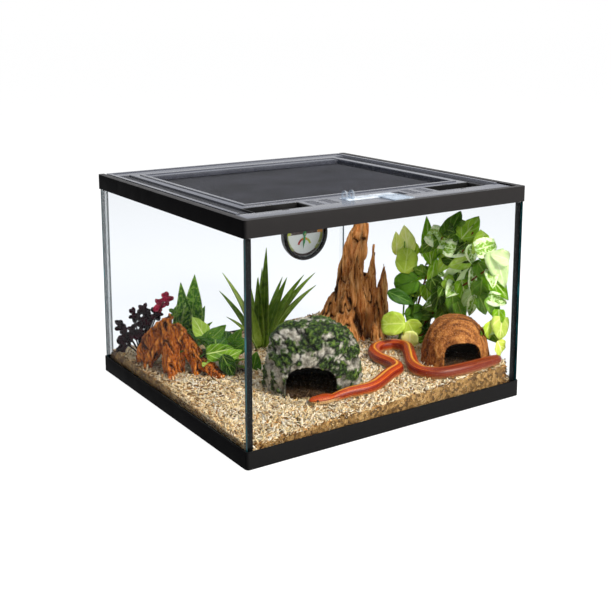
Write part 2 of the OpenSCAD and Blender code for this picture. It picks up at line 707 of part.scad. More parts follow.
module rock_hide() {
  color("#8b857a") bedded(rock_at, hide_turn) difference() {
    union() {
      dome(rock_rx, rock_ry, rock_h, 28, 9, 0.035, 0.6, bedding_in);
      // Ledges of rock that stand a little proud
      for (i = [0 : 8]) let (a = 200 + 40 * i, e = 24 + 18 * (i % 3))
        hull() for (s = [-1, 1])
          translate([(rock_rx - 9) * cos(e) * cos(a + 8 * s), (rock_ry - 9) * cos(e) * sin(a + 8 * s),
                     rock_h * 0.86 * pow(sin(e), 0.7)]) sphere(10, $fn = 8);
    }
    translate([0, 0, -bedding_in - 1])
      dome(rock_rx - rock_wall, rock_ry - rock_wall, rock_h - rock_wall, 24, 7, 0.02, 0.6, 0);
    translate([0, -rock_ry / 2, 0]) mouth(mouth_w, mouth_h, rock_ry);
  }
}

module bark_hide() {
  color("#a9713f") bedded(bark_at, hide_turn) difference() {
    union() {
      dome(bark_rx, bark_ry, bark_h, 26, 8, 0.02, 0.75, bedding_in);
      for (i = [0 : 8]) let (x = -36 + 9 * i)
        hull() for (y = [-1, 1]) translate([x, y * 14, bark_h * sqrt(1 - pow(x / bark_rx, 2)) * 0.9 - 3]) sphere(4, $fn = 6);
    }
    translate([0, 0, -bedding_in - 1])
      dome(bark_rx - bark_wall, bark_ry - bark_wall, bark_h - bark_wall, 22, 7, 0.02, 0.75, 0);
    translate([6, -bark_ry / 2, 0]) mouth(door_w, door_h, bark_ry);
  }
}

// A prong of wood from its foot to its tip; each point is [x, y, height share, radius]
module prong(points, rings, sides = 12, flat = 0.6) {
  tube([for (p = points) [p[0], p[1], mix(-bedding_in, wood_h, p[2]), p[3]]], rings, sides,
       guide = [0.83, -0.56, 0], flat = flat, ridge = 0.1, ridges = 4);
}

module tall_driftwood() {
  color("#9a6334") bedded(wood_at, 0) {
    prong([[0, 0, 0, 42], [-2, 2, 0.18, 36], [6, -2, 0.42, 24], [16, -8, 0.68, 16], [23, -12, 0.9, 10], [25, -13, 1, 6]], 12, 14);
    prong([[22, -16, 0, 18], [22, -15, 0.3, 15], [31, -19, 0.55, 8], [37, -23, 0.78, 3]], 8);
    prong([[36, -26, 0, 15], [37, -26, 0.25, 13], [46, -31, 0.45, 8], [52, -34, 0.62, 2]], 8);
    prong([[-34, 20, 0, 12], [-28, 16, 0.16, 10], [-16, 9, 0.3, 6]], 6);
  }
}

// Gnarled root: an arch of twisted limbs from three feet
module root_driftwood() {
  module limb(points, sides = 10)
    tube([for (p = points) [p[0], p[1], p[2] - bedding_in, p[3]]], 9, sides, guide = [0.2, -0.4, 1], flat = 0.8,
         ridge = 0.12, ridges = 4);
  color("#b4602b") bedded(root_at, 0) {
    limb([[-26, 58, 4, 12], [-20, 40, 26, 15], [-10, 18, 52, 15], [0, 2, 72, 9]]);
    limb([[-26, -42, 3, 3], [-20, -28, 16, 7], [-14, -8, 48, 10], [-4, 8, 76, 11]]);
    limb([[0, 4, 74, 12], [10, -12, 56, 12], [24, -34, 28, 12], [40, -62, 9, 9], [44, -68, 5, 5]]);
    limb([[-8, -20, 5, 6], [-4, -14, 28, 8], [2, -4, 56, 9], [0, 6, 70, 9]]);
  }
}

// Rosette of long pointed blades
module spiky_plant() {
  color("#3f6b2c") bedded(spiky_at, 0) {
    for (i = [0 : 12]) let (turn = 137.5 * i, lean = 18 + 3.6 * i, l = blade_l * (1 - 0.035 * i), r = 3 + 0.3 * i) {
      mid = [cos(turn) * l * 0.45 * sin(lean), sin(turn) * l * 0.45 * sin(lean), l * 0.5 * cos(lean)];
      tip = [cos(turn) * l * sin(lean), sin(turn) * l * sin(lean), l * 0.9 * cos(lean)];
      foot = [cos(turn) * r, sin(turn) * r, -bedding_in];
      tube([[foot[0], foot[1], foot[2], 6], [mid[0], mid[1], mid[2], 6.5], [tip[0], tip[1], tip[2], 0.5]],
           6, 6, guide = [-sin(turn), cos(turn), 0.01], flat = 1, ridge = 0);
    }
    for (i = [0 : 8]) rotate(40 * i) stem([2, 0, -bedding_in + 0.3 * i], [7, 0, 14], 5);
    translate([0, 0, -bedding_in]) cylinder(16, r = 5, $fn = 9);
  }
}

// Leaf at a point, turned about Z, then tipped up
module leaf_at(p, turn, tip_up, length, width, bend = 20, roll = 0) {
  translate(p) rotate([0, -tip_up, turn]) rotate([roll, 0, 0]) leaf(length, width, bend);
}

// Climbing plant in the right-hand corner; places are measured from its foot
module leafy_vine() {
  reach = glass_in_x - vine_at[0] - 6;
  stems = [
    [[0, 0, -bedding_in], [8, -6, 60], [16, -16, 120], [20, -18, 180], [10, -6, 232]],
    [[0.7, 0.9, -bedding_in], [4, 14, 50], [12, 34, 110], [14, 52, 170]],
    [[1.1, -0.8, -bedding_in], [22, -26, 40], [34, -58, 84], [36, -76, 130], [30, -84, 176]]];
  color("#5d8f38") bedded(vine_at, 0) {
    for (s = stems) for (i = [0 : len(s) - 2]) stem(s[i], s[i + 1]);
    for (s = stems) for (i = [1 : len(s) - 1]) for (k = [0 : 3])
      let (turn = -100 + (97 * i + 83 * k) % 200, p = mix(s[i - 1], s[i], 0.25 + 0.24 * k),
           l = min(44, 26 + 5 * k), fit = cos(turn) > 0 ? min(l, (reach - p[0]) / max(cos(turn), 0.2)) : l)
      leaf_at(p, turn, 20 - 12 * k, fit, l * 0.7, 24, 15 * k);
  }
}

// Sprigs of round leaves in front of the climbing plant
module round_leaf_plant() {
  stems = [
    [[-14, 8, -bedding_in], [-20, 5, 60], [-18, 3, 120], [-16, 2, 176]],
    [[-14, 8, -bedding_in], [-24, 6, 36], [-33, -2, 60]]];
  color("#8aa63a") bedded(vine_at, 0) {
    for (s = stems) for (i = [0 : len(s) - 2]) stem(s[i], s[i + 1], 1.2);
    for (s = stems) for (i = [1 : len(s) - 1]) for (k = [0, 1, 2])
      leaf_at(mix(s[i - 1], s[i], 0.39 + 0.21 * k), 150 + 40 * k + 25 * i, 10 + 20 * k, 24, 22, 10, 10 * k);
    for (i = [0 : 3]) stem(mix(stems[0][0], stems[0][1], 0.2 * i), mix(stems[0][0], stems[0][1], 0.2 * i) + [-6, 3, 8], 1.1);
  }
}

// Low plant with broad leaves behind the near corner
module broad_leaf_plant() {
  color("#4f7f2e") bedded(broad_at, 0) {
    for (i = [0 : 7]) let (turn = 20 + 45 * i, h = 22 + 5 * (i % 3)) {
      stem([0, 0, -bedding_in], [12 * cos(turn), 12 * sin(turn), h]);
      leaf_at([12 * cos(turn), 12 * sin(turn), h], turn, 18 - 10 * (i % 3), 32, 22, 30);
    }
  }
}

// Dark red sprigs of small leaves beside the root
module burgundy_plant() {
  color("#4a1626") bedded(burgundy_at, 0) {
    for (i = [0 : 5]) let (turn = 60 + 50 * i, top = [14 * cos(turn), 15 * sin(turn), 58 + 14 * (i % 3)]) {
      stem([0, 0, -bedding_in], top, 1.4);
      stem(top * 0.55, top * 0.55 + [5 * cos(turn + 90), 8 * sin(turn + 90), 12], 1.2);
      for (k = [0 : 4]) leaf_at(mix(top * 0.55, top, k / 4), turn + 72 * k, 24, 11, 8, 10);
    }
  }
}

// Two tall pointed leaves and a few small ones behind the root
module variegated_plant() {
  color("#3f7a34") bedded(variegated_at, 0) {
    stem([0, 0, -bedding_in], [0, 0, 27], 3);
    for (i = [0 : 6]) rotate(52 * i + 9) stem([1.4, 0, 1.1 * i], [4, 0, 25 + 1.7 * i], 1.3);
    for (i = [0 : 3]) let (turn = 60 + 150 * i)
      leaf_at([1.7 * cos(turn), 1.7 * sin(turn), 20 + 1.7 * i], turn, 81 - 13 * i, 92 - 14 * i, 24, 8);
    for (i = [0 : 3]) let (turn = 110 + 95 * i)
      leaf_at([1.3 * cos(turn), 1.3 * sin(turn), 11 + 1.9 * i], turn, 33, 40, 26, 22);
  }
}

// Snake: its back lies along these routes, [x, y, radius share, height over the bedding]. Its head
// end is measured from the rock hide and the rest of it from the bark hide.
head_route = [[-43, -59, 0.35, 1], [-35, -61, 0.72, 1], [-23, -64, 0.78, 0], [-11, -66, 0.66, 0],
  [13, -69, 0.86, 0], [51, -73, 0.95, 0]];
body_route = [[-124.2, 1.2, 1, 0], [-100.2, 11.2, 1, 0], [-90.2, 35.2, 1, 0], [-88.2, 65.2, 1, 0],
  [-78.2, 93.2, 1, 0], [-56.2, 110.2, 1, 0], [-32.2, 103.2, 1, 0], [-28.2, 77.2, 1, 0], [-48.2, 45.2, 1, 0],
  [-72.2, 9.2, 1, 0], [-80.2, -20.8, 1, 0], [-66.2, -42.8, 1, 0], [-30.2, -52.8, 1, 0], [3.8, -52.8, 0.96, 0],
  [29.8, -51.8, 0.85, 0], [43.8, -43.8, 0.55, 0], [48.8, -31.8, 0.3, 0], [49.8, -20.8, 0.12, 0]];
function beside(route, at) = [for (p = route) [at[0] + p[0], at[1] + p[1], p[2], p[3]]];

module corn_snake() {
  route = [for (p = concat(beside(head_route, rock_at), beside(body_route, bark_at)))
    [p[0], p[1], bed_z(p[0], p[1]) + snake_r * (p[2] + 0.02) + p[3], snake_r * p[2]]];
  color("#c8501c") tube(route, 72, 10, flat = 0.92);
}

bottom_frame();
bottom_pane();
front_pane();
back_pane();
left_pane();
right_pane();
corner_seals();
floor_seals();
top_frame();
lid_frame();
mesh_screen();
screen_retainer();
latch_slide();
left_port_tray();
right_port_tray();
gauge_pad();
gauge_case();
gauge_dial();
gauge_bezel();
gauge_lens();
gauge_spindle();
temperature_coil();
humidity_coil();
temperature_hand();
humidity_hand();
substrate();
rock_hide();
bark_hide();
tall_driftwood();
root_driftwood();
spiky_plant();
leafy_vine();
round_leaf_plant();
broad_leaf_plant();
burgundy_plant();
variegated_plant();
corn_snake();
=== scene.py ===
"""Reptile terrarium: glass tank, screen lid, dial gauge, bedding, hides, wood, plants and a corn snake."""
import bpy
import math
import random
import numpy as np
from mathutils import Matrix, Vector, noise
from mathutils.bvhtree import BVHTree


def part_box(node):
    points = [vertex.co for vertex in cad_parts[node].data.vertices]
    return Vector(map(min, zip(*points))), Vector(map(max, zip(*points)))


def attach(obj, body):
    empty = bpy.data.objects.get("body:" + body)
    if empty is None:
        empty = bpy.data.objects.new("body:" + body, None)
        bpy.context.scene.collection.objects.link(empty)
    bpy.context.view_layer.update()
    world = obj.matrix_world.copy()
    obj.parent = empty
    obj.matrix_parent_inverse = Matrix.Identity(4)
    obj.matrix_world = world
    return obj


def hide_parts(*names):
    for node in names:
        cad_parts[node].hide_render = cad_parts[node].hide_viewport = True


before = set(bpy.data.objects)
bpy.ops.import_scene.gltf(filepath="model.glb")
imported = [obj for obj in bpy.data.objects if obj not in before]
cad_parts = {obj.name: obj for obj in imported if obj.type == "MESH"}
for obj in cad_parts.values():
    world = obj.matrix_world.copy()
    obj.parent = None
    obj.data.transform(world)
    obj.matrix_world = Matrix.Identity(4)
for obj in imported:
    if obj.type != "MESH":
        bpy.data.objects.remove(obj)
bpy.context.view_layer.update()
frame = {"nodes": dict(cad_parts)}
nodes = frame["nodes"]
MM = 0.001
TAU = 2 * math.pi
# inner faces of the side panes and of the front and back panes, in millimetres from the middle
GLASS_X = 223.2
GLASS_Y = 213.2


# ---------------------------------------------------------------- camera, floor and light

def add_camera():
    """Camera at the front left, a little above the lid, with a long lens."""
    azimuth = math.radians(-33.71)
    elevation = math.radians(10.13)
    target = Vector((1.63, -1.09, 277.4)) * MM
    distance = 1.4884
    back = Vector((math.sin(azimuth) * math.cos(elevation), -math.cos(azimuth) * math.cos(elevation),
                   math.sin(elevation)))
    data = bpy.data.cameras.new("camera")
    data.lens = 59.71
    data.sensor_width = 36
    data.shift_y = -0.17
    data.clip_start = 0.01
    data.clip_end = 50
    camera = bpy.data.objects.new("camera", data)
    bpy.context.scene.collection.objects.link(camera)
    camera.rotation_mode = "QUATERNION"
    camera.location = target + back * distance
    camera.rotation_quaternion = (-back).to_track_quat("-Z", "Y")
    bpy.context.scene.camera = camera


add_camera()
bpy.context.scene.view_settings.view_transform = "Standard"


def linear(colour):
    """sRGB hex to the linear colour that the shaders take."""
    values = [int(colour[i:i + 2], 16) / 255 for i in (1, 3, 5)]
    values = [v / 12.92 if v <= 0.04045 else ((v + 0.055) / 1.055) ** 2.4 for v in values]
    return (*values, 1.0)


def add_node(tree, kind, inputs=None, **settings):
    """A shader node. inputs maps a socket to a value, an output, or a node, which gives its first output."""
    made = tree.nodes.new("ShaderNode" + kind)
    for key, value in settings.items():
        setattr(made, key, value)
    for key, value in (inputs or {}).items():
        socket = made.inputs[key]
        if isinstance(value, bpy.types.Node):
            value = next(plug for plug in value.outputs if plug.enabled)
        if isinstance(value, bpy.types.NodeSocket):
            tree.links.new(value, socket)
        elif isinstance(value, str):
            socket.default_value = linear(value)
        else:
            socket.default_value = value
    return made


def new_material(name):
    """An empty material and its tree."""
    material = bpy.data.materials.new(name)
    material.use_nodes = True
    material.node_tree.nodes.clear()
    return material, material.node_tree


def blend_stops(tree, factor, stops):
    """A colour ramp from (place, hex colour) stops, driven by a factor."""
    ramp = add_node(tree, "ValToRGB", {"Fac": factor})
    elements = ramp.color_ramp.elements
    elements[0].position = stops[0][0]
    elements[1].position = stops[-1][0]
    for place, _ in stops[1:-1]:
        elements.new(place)
    for element, (_, colour) in zip(elements, stops):
        element.color = linear(colour)
    return ramp


def add_light(name, place, aim, size, power, colour):
    """A square softbox aimed at a point."""
    data = bpy.data.lights.new(name, "AREA")
    data.shape = "SQUARE"
    data.size = size
    data.energy = power
    data.color = linear(colour)[:3]
    lamp = bpy.data.objects.new(name, data)
    bpy.context.scene.collection.objects.link(lamp)
    lamp.location = place
    lamp.rotation_mode = "QUATERNION"
    lamp.rotation_quaternion = (Vector(aim) - Vector(place)).to_track_quat("-Z", "Y")


def add_studio():
    """White floor and surroundings, and soft lamps."""
    bpy.ops.mesh.primitive_plane_add(size=90, location=(0, 0, -0.0002))
    floor = bpy.context.object
    floor.name = "studio_floor"
    material, tree = new_material("matte white paper sweep")
    path = add_node(tree, "LightPath")
    paper = add_node(tree, "BsdfDiffuse", {"Color": "#e9e9e9"})
    glow = add_node(tree, "Emission", {"Color": "#ffffff", "Strength": 1.19})
    seen = add_node(
        tree, "Math", {0: path.outputs["Is Camera Ray"], 1: path.outputs["Is Glossy Ray"]},
        operation="MAXIMUM")
    seen = add_node(tree, "Math", {0: seen, 1: path.outputs["Is Transmission Ray"]}, operation="MAXIMUM")
    share = add_node(tree, "Math", {0: seen, 1: 0.8}, operation="MULTIPLY")
    mixed = add_node(tree, "MixShader", {0: share, 1: paper, 2: glow})
    add_node(tree, "OutputMaterial", {"Surface": mixed})
    floor.data.materials.append(material)
    world = bpy.data.worlds.new("studio")
    bpy.context.scene.world = world
    world.use_nodes = True
    tree = world.node_tree
    tree.nodes.clear()
    path = add_node(tree, "LightPath")
    seen = add_node(
        tree, "Math", {0: path.outputs["Is Camera Ray"], 1: path.outputs["Is Transmission Ray"]},
        operation="MAXIMUM")
    seen = add_node(tree, "Math", {0: seen, 1: path.outputs["Is Glossy Ray"]}, operation="MAXIMUM")
    room = add_node(tree, "Background", {"Color": "#f6f7fa", "Strength": 0.3})
    sheet = add_node(tree, "Background", {"Color": "#ffffff", "Strength": 1.0})
    mixed = add_node(tree, "MixShader", {0: seen, 1: room, 2: sheet})
    add_node(tree, "OutputWorld", {"Surface": mixed})
    add_light("key softbox", (0.3, -1.65, 1.5), (0, 0, 0.1), 0.6, 68, "#fff8ec")
    add_light("side softbox", (-1.7, -1.1, 1.4), (0, 0, 0.1), 1.0, 3, "#ffffff")
    add_light("top softbox", (0.2, 0.3, 1.9), (0, 0, 0.2), 1.2, 40, "#f6f9ff")


add_studio()


# ---------------------------------------------------------------- making pieces

def deselect():
    """Nothing selected, in object mode."""
    if bpy.context.object and bpy.context.object.mode != "OBJECT":
        bpy.ops.object.mode_set(mode="OBJECT")
    bpy.ops.object.select_all(action="DESELECT")


def choose(piece):
    """Only this piece selected and active."""
    deselect()
    piece.select_set(True)
    bpy.context.view_layer.objects.active = piece


def apply_all(piece):
    """Applies the piece's modifiers in order."""
    choose(piece)
    for modifier in list(piece.modifiers):
        bpy.ops.object.modifier_apply(modifier=modifier.name)


def settle(piece, body, materials, replaced=(), smooth=35):
    """Finishes a piece: its place goes into its mesh, and it gets its materials, body and shading."""
    choose(piece)
    bpy.ops.object.transform_apply(location=True, rotation=True, scale=True)
    if materials:
        piece.data.materials.clear()
        for material in materials:
            piece.data.materials.append(material)
    if smooth >= 180:
        bpy.ops.object.shade_smooth()
    elif smooth > 0:
        bpy.ops.object.shade_smooth_by_angle(angle=math.radians(smooth))
    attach(piece, body)
    if replaced:
        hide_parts(*replaced)
    return piece


def node_copy(name, node):
    """A fresh piece with a solid's mesh, its loose triangles merged."""
    piece = bpy.data.objects.new(name, nodes[node].data.copy())
    bpy.context.scene.collection.objects.link(piece)
    piece.data.materials.clear()
    choose(piece)
    bpy.ops.object.mode_set(mode="EDIT")
    bpy.ops.mesh.select_all(action="SELECT")
    bpy.ops.mesh.remove_doubles(threshold=0.01 * MM)
    bpy.ops.object.mode_set(mode="OBJECT")
    return piece


def eased(name, node, body, material, edge, steps=2):
    """A solid with its flats joined and its edges rounded, as moulding leaves them."""
    flat_angle = math.radians(0.6)
    sharp_angle = math.radians(40)
    piece = node_copy(name, node)
    bpy.ops.object.mode_set(mode="EDIT")
    bpy.ops.mesh.select_all(action="SELECT")
    bpy.ops.mesh.dissolve_limited(angle_limit=flat_angle)
    bpy.ops.object.mode_set(mode="OBJECT")
    bevel = piece.modifiers.new("edges", "BEVEL")
    bevel.width = edge * MM
    bevel.segments = steps
    bevel.limit_method = "ANGLE"
    bevel.angle_limit = sharp_angle
    apply_all(piece)
    return settle(piece, body, [material], (node,))


def mesh_piece(name, points, faces):
    """A new piece from points in millimetres and faces."""
    data = bpy.data.meshes.new(name)
    data.from_pydata([tuple(p) for p in np.asarray(points, float) * MM], [], faces)
    data.validate()
    piece = bpy.data.objects.new(name, data)
    bpy.context.scene.collection.objects.link(piece)
    return piece


def joined(pieces, name):
    """Several pieces joined into the first, under a new name."""
    deselect()
    for piece in pieces:
        piece.select_set(True)
    bpy.context.view_layer.objects.active = pieces[0]
    bpy.ops.object.join()
    pieces[0].name = name
    return pieces[0]


def recalculated(piece):
    """Faces turned outwards."""
    choose(piece)
    bpy.ops.object.mode_set(mode="EDIT")
    bpy.ops.mesh.select_all(action="SELECT")
    bpy.ops.mesh.normals_make_consistent(inside=False)
    bpy.ops.object.mode_set(mode="OBJECT")
    return piece


def tube_faces(rings, sides):
    """Faces of a closed tube whose rings of points follow each other."""
    faces = []
    for i in range(rings - 1):
        for k in range(sides):
            q = (k + 1) % sides
            faces.append((i * sides + k, i * sides + q, (i + 1) * sides + q, (i + 1) * sides + k))
    faces.append(tuple(range(sides))[::-1])
    faces.append(tuple((rings - 1) * sides + k for k in range(sides)))
    return faces


def corner_points(piece):
    """The number of the point at each corner of the piece's faces."""
    corners = np.zeros(len(piece.data.loops), np.int32)
    piece.data.loops.foreach_get("vertex_index", corners)
    return corners


def add_uvs(piece, values):
    """Gives the piece a UV map from one pair of values per face corner."""
    layer = piece.data.uv_layers.new(name="UVMap")
    layer.data.foreach_set("uv", np.asarray(values, np.float32).ravel())


def add_values(piece, name, values):
    """Stores a value for each point, for the material to read."""
    layer = piece.data.attributes.new(name, "FLOAT", "POINT")
    layer.data.foreach_set("value", np.asarray(values, np.float32))


# ---------------------------------------------------------------- moulded plastic, glass and rubber

def moulded(name, colour, rough, grain_mm=0.35, depth=0.1, wear="#5a5a5e", shine=0.5, dim=0.0):
    """Injection-moulded plastic: an even colour, fine spark-eroded grain and slightly uneven gloss.

    dim is how much painted shade darkens the faces that look left, away from the key light.
    """
    material, tree = new_material(name)
    place = add_node(tree, "TexCoord").outputs["Object"]
    grain = add_node(tree, "TexNoise", {"Vector": place, "Scale": 1 / (grain_mm * MM), "Detail": 2.0})
    patches = add_node(tree, "TexNoise", {"Vector": place, "Scale": 1 / (22 * MM), "Detail": 3.0})
    gloss = add_node(tree, "MapRange", {
        "Value": patches, "From Min": 0.3, "From Max": 0.7, "To Min": rough - 0.05, "To Max": rough + 0.07})
    tint = add_node(tree, "MapRange", {
        "Value": patches, "From Min": 0.35, "From Max": 0.75, "To Min": 0.0, "To Max": 0.16})
    paint = add_node(tree, "Mix", {0: tint, 6: colour, 7: wear}, data_type="RGBA")
    bump = add_node(tree, "Bump", {"Height": grain, "Strength": depth, "Distance": 0.0001})
    normal = add_node(tree, "SeparateXYZ", {0: add_node(tree, "NewGeometry").outputs["True Normal"]})
    away = add_node(tree, "MapRange", {
        "Value": normal.outputs[0], "From Min": -1.0, "From Max": -0.2, "To Min": dim, "To Max": 0.0})
    # painted shade: faces that look left are mixed towards black and reflect less, as if turned from the key
    # light
    paint = add_node(tree, "Mix", {0: away, 6: paint, 7: "#020203"}, data_type="RGBA")
    level = add_node(tree, "MapRange", {"Value": away, "To Min": shine, "To Max": 0.0})
    shader = add_node(tree, "BsdfPrincipled", {
        "Base Color": paint, "Roughness": gloss, "IOR": 1.5, "Normal": bump, "Specular IOR Level": level})
    add_node(tree, "OutputMaterial", {"Surface": shader})
    return material


def clear_sheet(name, tint, edge_tint, axis, gloss=0.03, shine=0.001):
    """Clear sheet: see-through faces across an axis, a faint reflection and perhaps coloured edges with a
    faint painted glow.
    """
    glancing = 0.08
    material, tree = new_material(name)
    slant = add_node(tree, "LayerWeight", {"Blend": 0.5})
    steep = add_node(tree, "Math", {0: slant.outputs["Facing"], 1: 5.0}, operation="POWER")
    facing = add_node(tree, "Math", {0: steep, 1: glancing, 2: shine}, operation="MULTIPLY_ADD")
    through = add_node(tree, "BsdfTransparent", {"Color": tint})
    mirror = add_node(tree, "BsdfGlossy", {"Color": "#ffffff", "Roughness": gloss})
    face = add_node(tree, "MixShader", {0: facing, 1: through, 2: mirror})
    shader = face
    if edge_tint:
        normal = add_node(tree, "SeparateXYZ", {0: add_node(tree, "NewGeometry").outputs["True Normal"]})
        spot = add_node(tree, "SeparateXYZ", {0: add_node(tree, "TexCoord").outputs["Object"]})
        bend = add_node(tree, "Math", {0: normal.outputs[axis]}, operation="ABSOLUTE")
        rim = add_node(tree, "Math", {0: bend, 1: 0.5}, operation="LESS_THAN")
        upright = add_node(tree, "CombineXYZ", {2: spot.outputs[2]})
        wave = add_node(tree, "TexNoise", {"Vector": upright, "Scale": 1 / (45 * MM), "Detail": 1.0})
        hue = blend_stops(tree, wave, edge_tint)
        # the far right corner catches the light, so its edges are pale
        right = add_node(tree, "Math", {0: spot.outputs[0], 1: 0.0}, operation="GREATER_THAN")
        far = add_node(tree, "Math", {0: spot.outputs[1], 1: 0.0}, operation="GREATER_THAN")
        far = add_node(tree, "Math", {0: right, 1: far}, operation="MULTIPLY")
        hue = add_node(tree, "Mix", {0: far, 6: hue, 7: "#c9d4d8"}, data_type="RGBA")
        # painted light: the edges glow faintly in their own colour
        edge = add_node(tree, "BsdfPrincipled", {
            "Base Color": hue, "Roughness": 0.12, "Specular IOR Level": 0.1, "Emission Color": hue,
            "Emission Strength": 0.08})
        shader = add_node(tree, "MixShader", {0: rim, 1: face, 2: edge})
    add_node(tree, "OutputMaterial", {"Surface": shader})
    return material


frame_black = moulded(
    "black polypropylene, satin moulded", "#1f1e1f", 0.5, wear="#272627", shine=0.07, dim=0.9)
# the lower frame is given a darker black than the upper frame
base_black = moulded(
    "black polypropylene, darker than the upper frame", "#161617", 0.5, wear="#1c1c1d", shine=0.04, dim=0.8)
lid_grey = moulded(
    "charcoal ABS, satin moulded", "#3a3d47", 0.26, grain_mm=0.9, depth=0.03, wear="#545968", shine=0.5)
# near black for the lid's channels and notches: painted shade, with a deeper grain
channel_shade_black = moulded(
    "black ABS, painted shade and eroded grain in the channels", "#08090b", 0.55, grain_mm=0.6, depth=0.4, wear="#14161a",
    shine=0.15)
tray_black = moulded("black ABS, glossy", "#050506", 0.3, wear="#101114", shine=0.12)
seal_black = moulded(
    "black silicone, tooled", "#08090a", 0.45, grain_mm=2.0, depth=0.15, wear="#121314", shine=0.2)
ring_black = moulded("black polypropylene, screen ring", "#1c1c1f", 0.5)

EDGE_GREEN = ((0.35, "#061e22"), (0.54, "#0f444a"), (0.74, "#2c7f8a"))
pane_x = clear_sheet("float glass, side panes", "#f9fafb", None, 0)
pane_y = clear_sheet("float glass, front and back panes", "#f9fafb", EDGE_GREEN, 1)
pane_z = clear_sheet("float glass, bottom pane", "#feffff", EDGE_GREEN, 2)


def corner_silicone():
    """Silicone in the corners: black along the front, and clear, so nearly unseen, along the back."""
    bond_start = 211.5 * MM
    material, tree = new_material("silicone, black in front and clear behind")
    spot = add_node(tree, "SeparateXYZ", {0: add_node(tree, "TexCoord").outputs["Object"]})
    behind = add_node(tree, "Math", {0: spot.outputs[1], 1: 0.0}, operation="GREATER_THAN")
    black = add_node(tree, "BsdfPrincipled", {
        "Base Color": "#060708", "Roughness": 0.4, "Specular IOR Level": 0.2})
    clear = add_node(tree, "BsdfTransparent", {"Color": "#fdfefe"})
    skin = add_node(tree, "BsdfPrincipled", {
        "Base Color": "#1d3a42", "Roughness": 0.3, "Specular IOR Level": 0.1})
    left = add_node(tree, "Math", {0: spot.outputs[0], 1: 0.0}, operation="LESS_THAN")
    bond = add_node(tree, "Math", {0: spot.outputs[1], 1: bond_start}, operation="GREATER_THAN")
    bond = add_node(tree, "Math", {0: bond, 1: left}, operation="MULTIPLY")
    share = add_node(tree, "MapRange", {"Value": bond, "To Min": 0.04, "To Max": 0.7})
    thin = add_node(tree, "MixShader", {0: share, 1: clear, 2: skin})
    both = add_node(tree, "MixShader", {0: behind, 1: black, 2: thin})
    add_node(tree, "OutputMaterial", {"Surface": both})
    return material


def paint_node(node, material):
    """Gives a carried-over solid its material."""
    nodes[node].data.materials.clear()
    nodes[node].data.materials.append(material)


for name in ("left_pane", "right_pane"):
    paint_node(name, pane_x)
for name in ("front_pane", "back_pane"):
    paint_node(name, pane_y)
paint_node("bottom_pane", pane_z)
paint_node("corner_seals", corner_silicone())
paint_node("floor_seals", seal_black)
eased("lower_frame", "bottom_frame", "tank", base_black, 0.8, 3)
eased("upper_frame", "top_frame", "tank", frame_black, 0.8, 3)


# ---------------------------------------------------------------- lid, trays and latch

def make_lid():
    """The lid with eased edges; its grip channels and notches are painted near black as painted shade, and
    grained.
    """
    facing_up = 0.8
    lowest, highest = 304 * MM, 307.8 * MM
    lid = eased("sliding_lid", "lid_frame", "lid", lid_grey, 0.35)
    lid.data.materials.append(channel_shade_black)
    # painted shade: the upward faces down in the channels and notches get the near-black material
    for face in lid.data.polygons:
        if face.normal.z > facing_up and lowest < face.center.z < highest:
            face.material_index = 1


make_lid()
eased("left_tray_cup", "left_port_tray", "left_tray", tray_black, 0.4)
eased("right_tray_cup", "right_port_tray", "right_tray", tray_black, 0.4)
eased("screen_ring", "screen_retainer", "lid", ring_black, 0.3)


def screen_wire():
    """Epoxy-coated woven wire: dark grey, slightly uneven and half matt."""
    material, tree = new_material("epoxy-coated woven screen wire")
    place = add_node(tree, "TexCoord").outputs["Object"]
    fade = add_node(tree, "TexNoise", {"Vector": place, "Scale": 1 / (60 * MM), "Detail": 2.0})
    hue = blend_stops(tree, fade, ((0.3, "#191a20"), (0.7, "#2b2c34")))
    shader = add_node(tree, "BsdfPrincipled", {
        "Base Color": hue, "Roughness": 0.5, "Specular IOR Level": 0.3})
    add_node(tree, "OutputMaterial", {"Surface": shader})
    return material


def make_screen():
    """Screen cloth of crossing square wires; the pitch is 1.6 mm so that it can be seen."""
    low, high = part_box("mesh_screen")
    pitch = 1.6
    wire = 0.24
    weave = 0.12
    points = []
    faces = []
    z = (low.z + high.z) / 2 / MM
    x0, x1, y0, y1 = low.x / MM, high.x / MM, low.y / MM, high.y / MM
    for axis, start, stop, end_a, end_b, lift in ((0, x0, x1, y0, y1, weave), (1, y0, y1, x0, x1, -weave)):
        count = int((stop - start) / pitch)
        for i in range(count + 1):
            at = start + wire + i * pitch
            base = len(points)
            for end in (end_a, end_b):
                for side, rise in ((-1, 0), (0, 1), (1, 0), (0, -1)):
                    across = at + side * wire
                    p = (across, end) if axis == 0 else (end, across)
                    points.append((p[0], p[1], z + lift + rise * wire))
            faces += [tuple(base + k for k in face) for face in tube_faces(2, 4)]
    screen = recalculated(mesh_piece("screen_cloth_wires", points, faces))
    settle(screen, "lid", [screen_wire()], ("mesh_screen",), smooth=0)


make_screen()


